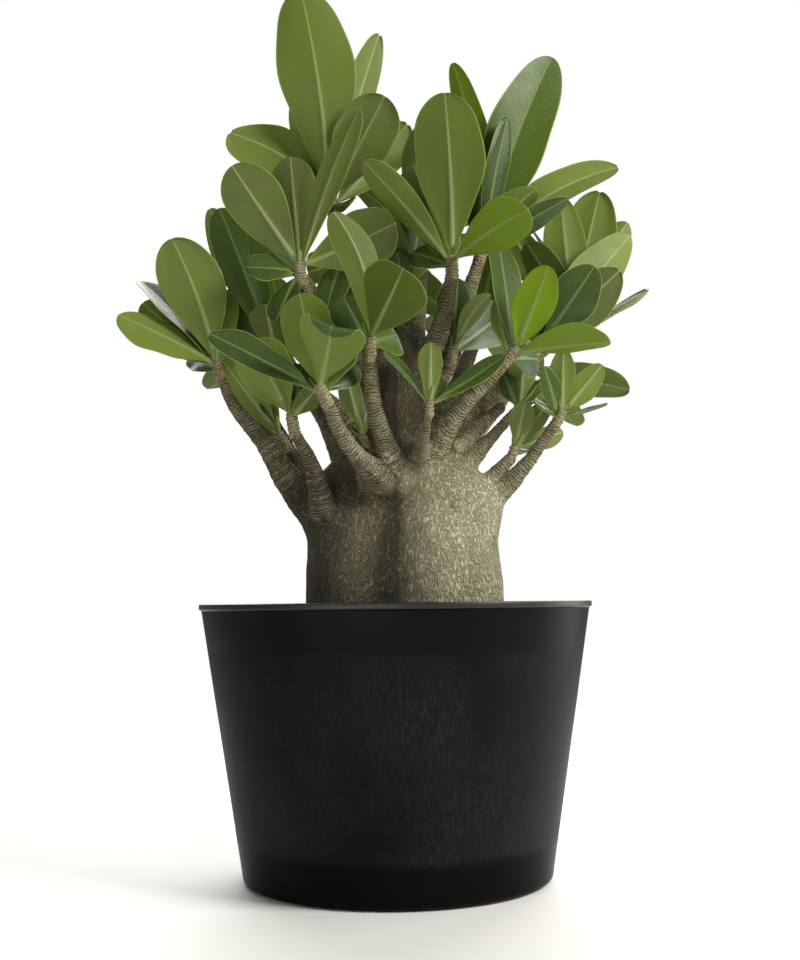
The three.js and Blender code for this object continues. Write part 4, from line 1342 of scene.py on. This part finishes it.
def soil_object(material):
    """A filled bed of soil with loose crumbs on its top"""
    patch = Patch()
    chance = np.random.default_rng(GRAIN_SEED)
    edge = wall_radius(SOIL_TOP) - POT_WALL - SOIL_EDGE_GAP
    turns = ring_turns(SOIL_SIDES)
    rings = [level_ring(turns, wall_radius(POT_FLOOR) - POT_WALL - 1, POT_FLOOR + GAP)]
    for out in np.linspace(1, 0.004, SOIL_RINGS) * edge:
        x, y = out * np.cos(turns), out * np.sin(turns)
        rings.append(np.stack([x, y, soil_height(x, y)], -1))
    add_tube(patch, np.array(rings), kind=0)
    for _ in range(GRAINS):
        out, turn = edge * 0.98 * math.sqrt(chance.uniform(0.05, 1)), chance.uniform(0, 2 * math.pi)
        x, y = out * math.cos(turn), out * math.sin(turn)
        size = chance.uniform(*GRAIN_SIZES)
        centre = np.array([x, y, float(soil_height(np.array(x), np.array(y))) + 0.25 * size])
        add_grain(patch, centre, size, chance)
    return patch.to_object("soil_bed", [material])


def add_grain(patch, centre, size, chance):
    """A small uneven crumb"""
    turns = ring_turns(GRAIN_SIDES)
    tall = np.linspace(-1, 1, GRAIN_ROWS) * 0.98
    points = np.array([level_ring(turns, math.sqrt(1 - height**2), height) for height in tall])
    points *= chance.uniform(0.72, 1.1, (GRAIN_ROWS, GRAIN_SIDES, 1))
    tilt = np.array(Matrix.Rotation(chance.uniform(0, 3), 3, Vector(chance.normal(size=3))))
    points = (points * [1, chance.uniform(0.6, 1), chance.uniform(0.5, 0.9)]) @ tilt.T
    look = np.zeros((GRAIN_ROWS * GRAIN_SIDES, 4))
    look[:, 2] = 1
    look[:, 3] = chance.uniform(0, 1)
    add_tube(patch, centre + size * points, kind=0, look=look)


# Materials


def rgb(red, green, blue):
    return (red, green, blue, 1.0)


LEAF_FACES = {
    "leaf_upper_face": dict(
        skin=rgb(0.042, 0.078, 0.014), dull=rgb(0.026, 0.05, 0.015), young=rgb(0.15, 0.22, 0.015),
        pale=rgb(0.15, 0.22, 0.07), vein_share=0.16, net_share=0.12, roughness=0.32, glow=0.24,
    ),
    "leaf_lower_face": dict(
        skin=rgb(0.175, 0.246, 0.034), dull=rgb(0.17, 0.208, 0.068), young=rgb(0.22, 0.32, 0.01),
        pale=rgb(0.40, 0.47, 0.20), vein_share=0.05, net_share=0.05, roughness=0.47, glow=0.46,
    ),
}
LEAF_EDGE = rgb(0.34, 0.46, 0.07)
LIGHT_THROUGH_LEAF = rgb(0.34, 0.46, 0.02)
TONE_CYCLE = 0.17
TONE_BRIGHTNESS = (0.74, 1.4)
CRACK = rgb(0.035, 0.025, 0.014)
SCAR = rgb(0.44, 0.40, 0.28)
# Colours of painted shade: on the trunk's left lobe and top, and on the left limb
TRUNK_PAINTED_SHADE = rgb(0.058, 0.047, 0.025)
LEFT_LIMB_PAINTED_SHADE = rgb(0.05, 0.045, 0.026)
RUBBED_PLASTIC = rgb(0.0135, 0.0135, 0.0125)
# Paler colour that paints the highlight on the pot's lip
LIP_PAINTED_HIGHLIGHT = rgb(0.016, 0.0157, 0.0135)


class Finish:
    """A material and short ways to add its nodes. A value is plain or another node's output."""

    def __init__(self, name):
        self.material = bpy.data.materials.new(name)
        self.material.use_nodes = True
        self.tree = self.material.node_tree
        self.tree.nodes.clear()

    def add(self, kind, values, output=0, **settings):
        node = self.tree.nodes.new("ShaderNode" + kind)
        for key, value in settings.items():
            setattr(node, key, value)
        for key, value in values.items():
            if isinstance(value, bpy.types.NodeSocket):
                self.tree.links.new(value, node.inputs[key])
            else:
                node.inputs[key].default_value = value
        return node.outputs[output]

    def place(self):
        return self.add("TexCoord", {}, "Object")

    def attribute(self, name, output="Color"):
        return self.add("Attribute", {}, output, attribute_name=name)

    def parts(self, kind, value):
        """The three parts of a colour ("Color") or of a place ("XYZ")"""
        return [self.add("Separate" + kind, {0: value}, part) for part in range(3)]

    def sum(self, operation, first, second):
        return self.add("Math", {0: first, 1: second}, operation=operation)

    def plus(self, first, second):
        return self.sum("ADD", first, second)

    def less(self, first, second):
        return self.sum("SUBTRACT", first, second)

    def times(self, first, second):
        return self.sum("MULTIPLY", first, second)

    def ramp(self, value, low, high, at_low, at_high):
        """at_low where the value is low, at_high where it is high, and even between"""
        return self.add("MapRange", {0: value, 1: low, 2: high, 3: at_low, 4: at_high})

    def step(self, value, low, high):
        """0 below low, 1 above high and smooth between"""
        return self.add("MapRange", {0: value, 1: low, 2: high}, interpolation_type="SMOOTHSTEP")

    def under(self, value, low, high):
        """1 below low, 0 above high and smooth between"""
        return self.less(1.0, self.step(value, low, high))

    def mix(self, share, first, second):
        return self.add("Mix", {0: share, 6: first, 7: second}, 2, data_type="RGBA")

    def coat(self, colour, mask, share, tint):
        """A share of the tint over the colour, where the mask is"""
        return self.mix(self.times(mask, share), colour, tint)

    def scaled(self, place, x, y, z):
        return self.add("VectorMath", {0: place, 1: (x, y, z)}, operation="MULTIPLY")

    def noise(self, place, scale, detail=3.0, rough=0.55):
        return self.add("TexNoise", {"Vector": place, "Scale": scale, "Detail": detail, "Roughness": rough})

    def warped(self, place, scale, amount):
        """The place, shifted by soft noise"""
        noise = self.add("TexNoise", {"Vector": place, "Scale": scale, "Detail": 2.0}, "Color")
        shift = self.add("VectorMath", {0: noise, 1: (0.5, 0.5, 0.5)}, operation="SUBTRACT")
        shift = self.add("VectorMath", {0: shift, "Scale": amount}, operation="SCALE")
        return self.add("VectorMath", {0: place, 1: shift}, operation="ADD")

    def cells(self, place, scale, feature="DISTANCE_TO_EDGE"):
        return self.add("TexVoronoi", {"Vector": place, "Scale": scale}, feature=feature)

    def bump(self, height, strength, depth):
        return self.add("Bump", {"Height": height, "Strength": strength, "Distance": depth}, "Normal")

    def skin(self, colour, roughness, specular, normal):
        return self.add("BsdfPrincipled", {
            "Base Color": colour, "Roughness": roughness, "Specular IOR Level": specular, "Normal": normal,
        })

    def finished(self, shader):
        out = self.tree.nodes.new("ShaderNodeOutputMaterial")
        self.tree.links.new(shader, out.inputs["Surface"])
        return self.material


def leaf_pattern(f):
    """Masks of a leaf's midrib, veins, vein net and edge, with its freshness, tone and share of length"""
    place = f.add("UVMap", {}, uv_map="blade")
    place = f.scaled(place, 1 / MM, 1 / MM, 1 / MM)
    reach, along, _ = f.parts("XYZ", place)
    share, across, fresh = f.parts("Color", f.attribute("look"))
    reach = f.sum("ABSOLUTE", reach, 0.0)
    rib = f.under(f.sum("DIVIDE", reach, f.ramp(share, 0.0, 1.0, *RIB_HALF_WIDTH)), 0.55, 1.15)
    shift = f.times(f.noise(place, 0.09, 2.0), 5.0)
    slanted = f.plus(f.less(along, f.times(reach, 0.95)), shift)
    row = f.sum("PINGPONG", f.sum("DIVIDE", slanted, VEIN_SPACING), 0.5)
    inside = f.under(across, 0.8, 0.97)
    net = f.under(f.cells(f.warped(place, 0.4, 1.2), 0.42), 0.0, 0.11)
    return SimpleNamespace(
        place=place, share=share, fresh=fresh, rib=rib,
        tone=f.attribute("look", "Alpha"),
        veins=f.times(f.under(row, 0.02, 0.075), inside),
        net=f.times(net, inside),
        edge=f.step(across, 0.945, 0.985),
    )


def leaf_finish(name, skin, dull, young, pale, vein_share, net_share, roughness, glow):
    """One face of a leaf: its own greens, pale veins and edge, and some light from behind"""
    f = Finish(name)
    leaf = leaf_pattern(f)
    mottle = f.noise(leaf.place, 0.05, 3.0)
    colour = f.mix(f.step(mottle, 0.3, 0.72), skin, dull)
    colour = f.coat(colour, leaf.tone, 0.55, dull)
    colour = f.mix(leaf.fresh, colour, young)
    # The tone's brightness varies at random, and on the pale-toned leaves of LEAF_TONES it is painted light
    bright = f.ramp(f.sum("PINGPONG", leaf.tone, TONE_CYCLE), 0.0, TONE_CYCLE, *TONE_BRIGHTNESS)
    colour = f.add("HueSaturation", {"Value": bright, "Color": colour})
    colour = f.coat(colour, f.under(leaf.share, 0.0, 0.3), 0.5, young)
    colour = f.coat(colour, leaf.net, net_share, pale)
    colour = f.coat(colour, leaf.veins, vein_share, pale)
    colour = f.coat(colour, leaf.edge, 0.7, LEAF_EDGE)
    colour = f.coat(colour, leaf.rib, 0.85, pale)
    height = f.plus(f.times(leaf.veins, 3 * vein_share), f.times(leaf.net, 2 * net_share))
    height = f.plus(height, f.times(f.noise(leaf.place, 0.6, 3.0), 0.45))
    bump = f.bump(height, 0.35, 0.00018)
    sheen = f.ramp(mottle, 0.3, 0.7, roughness - 0.06, roughness + 0.08)
    lit_from_behind = f.mix(0.5, colour, LIGHT_THROUGH_LEAF)
    behind = f.add("BsdfTranslucent", {"Color": lit_from_behind, "Normal": bump})
    through = f.plus(glow, f.times(leaf.fresh, 0.2))
    return f.finished(f.add("MixShader", {0: through, 1: f.skin(colour, sheen, 0.26, bump), 2: behind}))


def stem_rings(f, grain, young):
    """Colour and height of stem bark, with stacked rings and broken cracks, from its straightened place"""
    along = f.add("SeparateXYZ", {0: grain}, 2)
    drift = f.noise(f.scaled(grain, 1.0, 1.0, 0.5), 170.0, 2.0)
    shifted = f.plus(along, f.times(drift, 0.0048))
    ring = f.sum("PINGPONG", f.sum("DIVIDE", shifted, RING_SPACING * MM), 0.5)
    broken = f.step(f.noise(f.scaled(grain, 1.0, 1.0, 1.6), 260.0, 2.0), 0.44, 0.62)
    crack = f.times(f.under(ring, 0.03, 0.2), broken)
    flakes = f.noise(f.warped(f.scaled(grain, 1.0, 1.0, 2.4), 300.0, 0.002), 520.0, 4.0, 0.6)
    patches = f.step(f.noise(grain, 120.0, 3.0), 0.35, 0.65)
    old = f.mix(patches, rgb(0.19, 0.172, 0.097), rgb(0.32, 0.30, 0.19))
    fresh = f.mix(patches, rgb(0.18, 0.148, 0.07), rgb(0.28, 0.24, 0.14))
    colour = f.mix(young, old, fresh)
    colour = f.coat(colour, f.step(flakes, 0.5, 0.7), 0.6, rgb(0.38, 0.35, 0.24))
    colour = f.coat(colour, f.step(flakes, 0.5, 0.3), 0.6, rgb(0.09, 0.065, 0.035))
    colour = f.coat(colour, crack, 0.8, CRACK)
    height = f.plus(f.step(ring, 0.0, 0.35), f.times(flakes, 1.5))
    return colour, f.less(height, f.times(crack, 0.7))


def shoot_finish():
    """The stem's end: ringed bark that turns pale green where the leaves spring"""
    f = Finish("shoot_skin")
    share, x, y = f.parts("Color", f.attribute("look"))
    along = f.add("SeparateXYZ", {0: f.add("UVMap", {}, uv_map="blade")}, 1)
    grain = f.add("CombineXYZ", {0: f.times(x, 0.009), 1: f.times(y, 0.009), 2: along})
    colour, height = stem_rings(f, grain, 1.0)
    uneven = f.plus(share, f.times(f.less(f.noise(grain, 700.0, 4.0), 0.5), 0.3))
    colour = f.mix(f.step(uneven, 0.78, 0.95), colour, rgb(0.20, 0.28, 0.06))
    return f.finished(f.skin(colour, 0.75, 0.25, f.bump(height, 0.8, 0.0006)))


def trunk_skin(f, place, x, z):
    """Colour and height of the trunk's skin: upright wavy wrinkles, fine grain and pale raised dots, with
    painted shade over the left lobe and the top
    """
    upright = f.warped(f.scaled(place, 1.0, 1.0, 0.42), 210.0, 0.003)
    crest = f.step(f.noise(upright, 760.0, 3.0, 0.6), 0.38, 0.6)
    fine = f.noise(f.scaled(place, 1.0, 1.0, 0.6), 900.0, 4.0, 0.65)
    broad = f.noise(place, 26.0, 4.0)
    streak = f.noise(f.scaled(place, 1.0, 1.0, 0.16), 150.0, 3.0)
    colour = f.mix(f.step(broad, 0.36, 0.66), rgb(0.33, 0.31, 0.195), rgb(0.47, 0.445, 0.30))
    colour = f.coat(colour, f.step(streak, 0.45, 0.75), 0.35, rgb(0.22, 0.235, 0.145))
    colour = f.mix(f.less(0.42, f.times(crest, 0.42)), colour, rgb(0.13, 0.105, 0.055))
    colour = f.coat(colour, f.step(fine, 0.52, 0.7), 0.35, rgb(0.46, 0.44, 0.31))
    colour = f.coat(colour, f.step(fine, 0.46, 0.32), 0.35, rgb(0.11, 0.09, 0.05))
    dots = f.under(f.cells(place, 190.0, "F1"), 0.13, 0.2)
    dots = f.times(dots, f.step(f.noise(place, 60.0, 2.0), 0.52, 0.6))
    colour = f.coat(colour, dots, 0.7, rgb(0.50, 0.48, 0.36))
    # Painted shade: the left lobe is darkened, more so at its top, and so is all the skin from about 245 mm
    # up
    left = f.step(x, 0.008, 0.001)
    shade = f.times(left, f.plus(0.55, f.times(f.step(z, 0.20, 0.235), 0.35)))
    shade = f.sum("MAXIMUM", shade, f.times(f.step(z, 0.245, 0.28), 0.7))
    colour = f.mix(shade, colour, TRUNK_PAINTED_SHADE)
    wrinkles = f.times(crest, f.plus(1.4, f.times(left, 0.4)))
    return colour, f.plus(f.plus(wrinkles, f.times(fine, 0.6)), dots)


def bark_finish():
    """Wrinkled grey-olive skin on the trunk, and ringed, cracked bark on the stems, with painted shade over
    the trunk's left lobe, its top and its left limb
    """
    f = Finish("bark_skin")
    free, young, scar = f.parts("Color", f.attribute("bark"))
    place = f.place()
    x, _, z = f.parts("XYZ", f.warped(place, 60.0, 0.01))
    skin, skin_height = trunk_skin(f, place, x, z)
    stem, stem_height = stem_rings(f, f.attribute("grain", "Vector"), young)
    height = f.add("Mix", {0: free, 2: skin_height, 3: stem_height})
    colour = f.coat(f.mix(free, skin, stem), f.step(scar, 0.3, 0.9), 0.75, SCAR)
    # Painted shade on the far left of the trunk and on its left limb, below about 330 mm
    left_limb_painted_shade = f.times(f.step(x, -0.022, -0.05), f.step(z, 0.33, 0.24))
    colour = f.coat(colour, left_limb_painted_shade, 0.5, LEFT_LIMB_PAINTED_SHADE)
    return f.finished(f.skin(colour, 0.75, 0.16, f.bump(height, 1.0, 0.0014)))


def pot_finish():
    """Black moulded plastic: a smooth top band with a paler lip that paints its highlight, a rubbed middle
    with upright scratches and a darker foot
    """
    f = Finish("moulded_black_plastic")
    place = f.place()
    height = f.add("SeparateXYZ", {0: place}, 2)
    level = f.plus(height, f.times(f.less(f.noise(place, 30.0, 2.0), 0.5), 0.006))
    over_foot = f.step(level, (FOOT_BAND - 4) * MM, (FOOT_BAND + 3) * MM)
    middle = f.times(f.under(level, (TOP_BAND - 3) * MM, (TOP_BAND + 1.5) * MM), over_foot)
    strokes = f.step(f.noise(f.scaled(place, 1.0, 1.0, 0.022), 1300.0, 4.0, 0.6), 0.42, 0.64)
    patches = f.step(f.noise(place, 15.0, 4.0), 0.34, 0.68)
    rubbed = f.times(f.times(f.plus(f.times(strokes, 0.8), 0.2), patches), middle)
    dust = f.step(f.noise(place, 11.0, 5.0), 0.5, 0.8)
    lip = f.sum("GREATER_THAN", height, (POT_HEIGHT - LIP_HEIGHT) * MM)
    speck = f.sum("LESS_THAN", f.cells(place, 34.0, "F1"), 0.02)
    colour = f.mix(middle, rgb(0.0026, 0.0026, 0.0027), rgb(0.003, 0.0029, 0.0026))
    colour = f.coat(colour, dust, 0.5, rgb(0.010, 0.0075, 0.0055))
    colour = f.coat(colour, rubbed, 0.9, RUBBED_PLASTIC)
    # Painted highlight: the lip takes a paler colour
    colour = f.mix(lip, colour, LIP_PAINTED_HIGHLIGHT)
    colour = f.coat(colour, speck, 0.9, rgb(0.35, 0.34, 0.31))
    grainy = f.plus(f.times(strokes, middle), f.times(f.noise(place, 2600.0, 2.0), 0.5))
    rough = f.plus(f.ramp(middle, 0.0, 1.0, 0.36, 0.44), f.times(rubbed, 0.12))
    sheen = f.plus(f.ramp(over_foot, 0.0, 1.0, 0.03, 0.062), f.times(lip, 0.2))
    return f.finished(f.skin(colour, rough, sheen, f.bump(grainy, 0.22, 0.00012)))


def soil_finish():
    """Dark brown potting mix with paler crumbs"""
    f = Finish("potting_mix")
    crumb = f.add("SeparateColor", {0: f.attribute("look")}, 2)
    place = f.place()
    clods = f.cells(f.warped(place, 300.0, 0.002), 420.0)
    fine = f.noise(place, 1500.0, 4.0)
    bed = f.mix(f.step(fine, 0.35, 0.7), rgb(0.022, 0.014, 0.009), rgb(0.075, 0.05, 0.03))
    bed = f.mix(f.under(clods, 0.0, 0.12), bed, rgb(0.012, 0.008, 0.005))
    pale = f.step(f.attribute("look", "Alpha"), 0.62, 0.9)
    grain = f.mix(pale, rgb(0.09, 0.06, 0.038), rgb(0.36, 0.31, 0.23))
    grain = f.mix(f.step(fine, 0.4, 0.75), grain, rgb(0.05, 0.035, 0.024))
    height = f.plus(f.step(clods, 0.0, 0.3), fine)
    return f.finished(f.skin(f.mix(crumb, bed, grain), 0.92, 0.25, f.bump(height, 0.8, 0.0008)))


def floor_finish():
    """A pale floor that fades away from the pot"""
    f = Finish("pale_floor")
    off = f.add("VectorMath", {0: f.place()}, "Value", operation="LENGTH")
    shade = f.add("BsdfPrincipled", {"Base Color": rgb(0.80, 0.79, 0.77), "Roughness": 0.6})
    clear = f.add("BsdfTransparent", {})
    return f.finished(f.add("MixShader", {0: f.step(off, *FLOOR_FADE), 1: shade, 2: clear}))


# Stage


def floor_object():
    """A round floor, just under the pot"""
    patch = Patch()
    turns = ring_turns(FLOOR_SIDES)
    rings = [level_ring(turns, out, -FLOOR_DROP) for out in FLOOR_RINGS]
    faces = grid_faces(len(rings), FLOOR_SIDES, closed=True)
    patch.add(np.array(rings).reshape(-1, 3), faces, [0] * len(faces))
    patch.to_object("floor", [floor_finish()])


def area_light(name, place, target, size, power, colour):
    light = bpy.data.lights.new(name, "AREA")
    light.shape = "RECTANGLE"
    light.size, light.size_y = size
    light.energy = power
    light.color = colour
    lamp = bpy.data.objects.new(name, light)
    lamp.location = place
    lamp.rotation_euler = (Vector(target) - Vector(place)).to_track_quat("-Z", "Y").to_euler()
    bpy.context.scene.collection.objects.link(lamp)


def world_light(strength, backdrop):
    """Even soft light, in front of a plain pale backdrop"""
    world = bpy.data.worlds.new("studio")
    bpy.context.scene.world = world
    world.use_nodes = True
    tree = world.node_tree
    tree.nodes.clear()
    mix = tree.nodes.new("ShaderNodeMixShader")
    for slot, colour, power in [(1, rgb(0.98, 0.99, 1.0), strength), (2, rgb(1.0, 1.0, 1.0), backdrop)]:
        light = tree.nodes.new("ShaderNodeBackground")
        light.inputs["Color"].default_value = colour
        light.inputs["Strength"].default_value = power
        tree.links.new(light.outputs[0], mix.inputs[slot])
    seen = tree.nodes.new("ShaderNodeLightPath")
    tree.links.new(seen.outputs["Is Camera Ray"], mix.inputs[0])
    out = tree.nodes.new("ShaderNodeOutputWorld")
    tree.links.new(mix.outputs[0], out.inputs["Surface"])


def make_camera():
    camera = bpy.data.objects.new("camera", bpy.data.cameras.new("camera"))
    camera.data.lens = CAMERA_LENS
    camera.data.sensor_width = CAMERA_SENSOR
    camera.location = [value * MM for value in CAMERA_PLACE]
    pitch = Matrix.Rotation(math.radians(90 + CAMERA_PITCH), 3, "X")
    roll = Matrix.Rotation(math.radians(CAMERA_ROLL), 3, "Z")
    camera.rotation_euler = (pitch @ roll).to_euler()
    bpy.context.scene.collection.objects.link(camera)
    bpy.context.scene.camera = camera
    bpy.context.scene.view_settings.view_transform = "Standard"


def make_plant():
    upper, lower = (leaf_finish(name, **looks) for name, looks in LEAF_FACES.items())
    materials = [upper, lower, shoot_finish()]
    rosettes, leaves = place_all_leaves()
    for seed, rosette in enumerate(rosettes):
        own = [leaf for leaf in leaves if leaf.rosette == rosette["name"]]
        made = rosette_object(rosette, own, materials, seed)
        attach(made, "root")
        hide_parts(rosette["name"])
    stems = [LEADER, *BARE_STEMS, *(rosette["branch"] for rosette in rosettes)]
    wood = wood_object(stems, bark_finish())
    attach(wood, "root")
    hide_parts("trunk_and_branches")


def make_pot():
    pot = pot_object(pot_finish())
    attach(pot, "root")
    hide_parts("pot")
    soil = soil_object(soil_finish())
    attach(soil, "root")
    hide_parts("soil")


make_plant()
make_pot()
floor_object()
make_camera()
world_light(WORLD_STRENGTH, BACKDROP_STRENGTH)
for light in LIGHTS:
    area_light(*light)
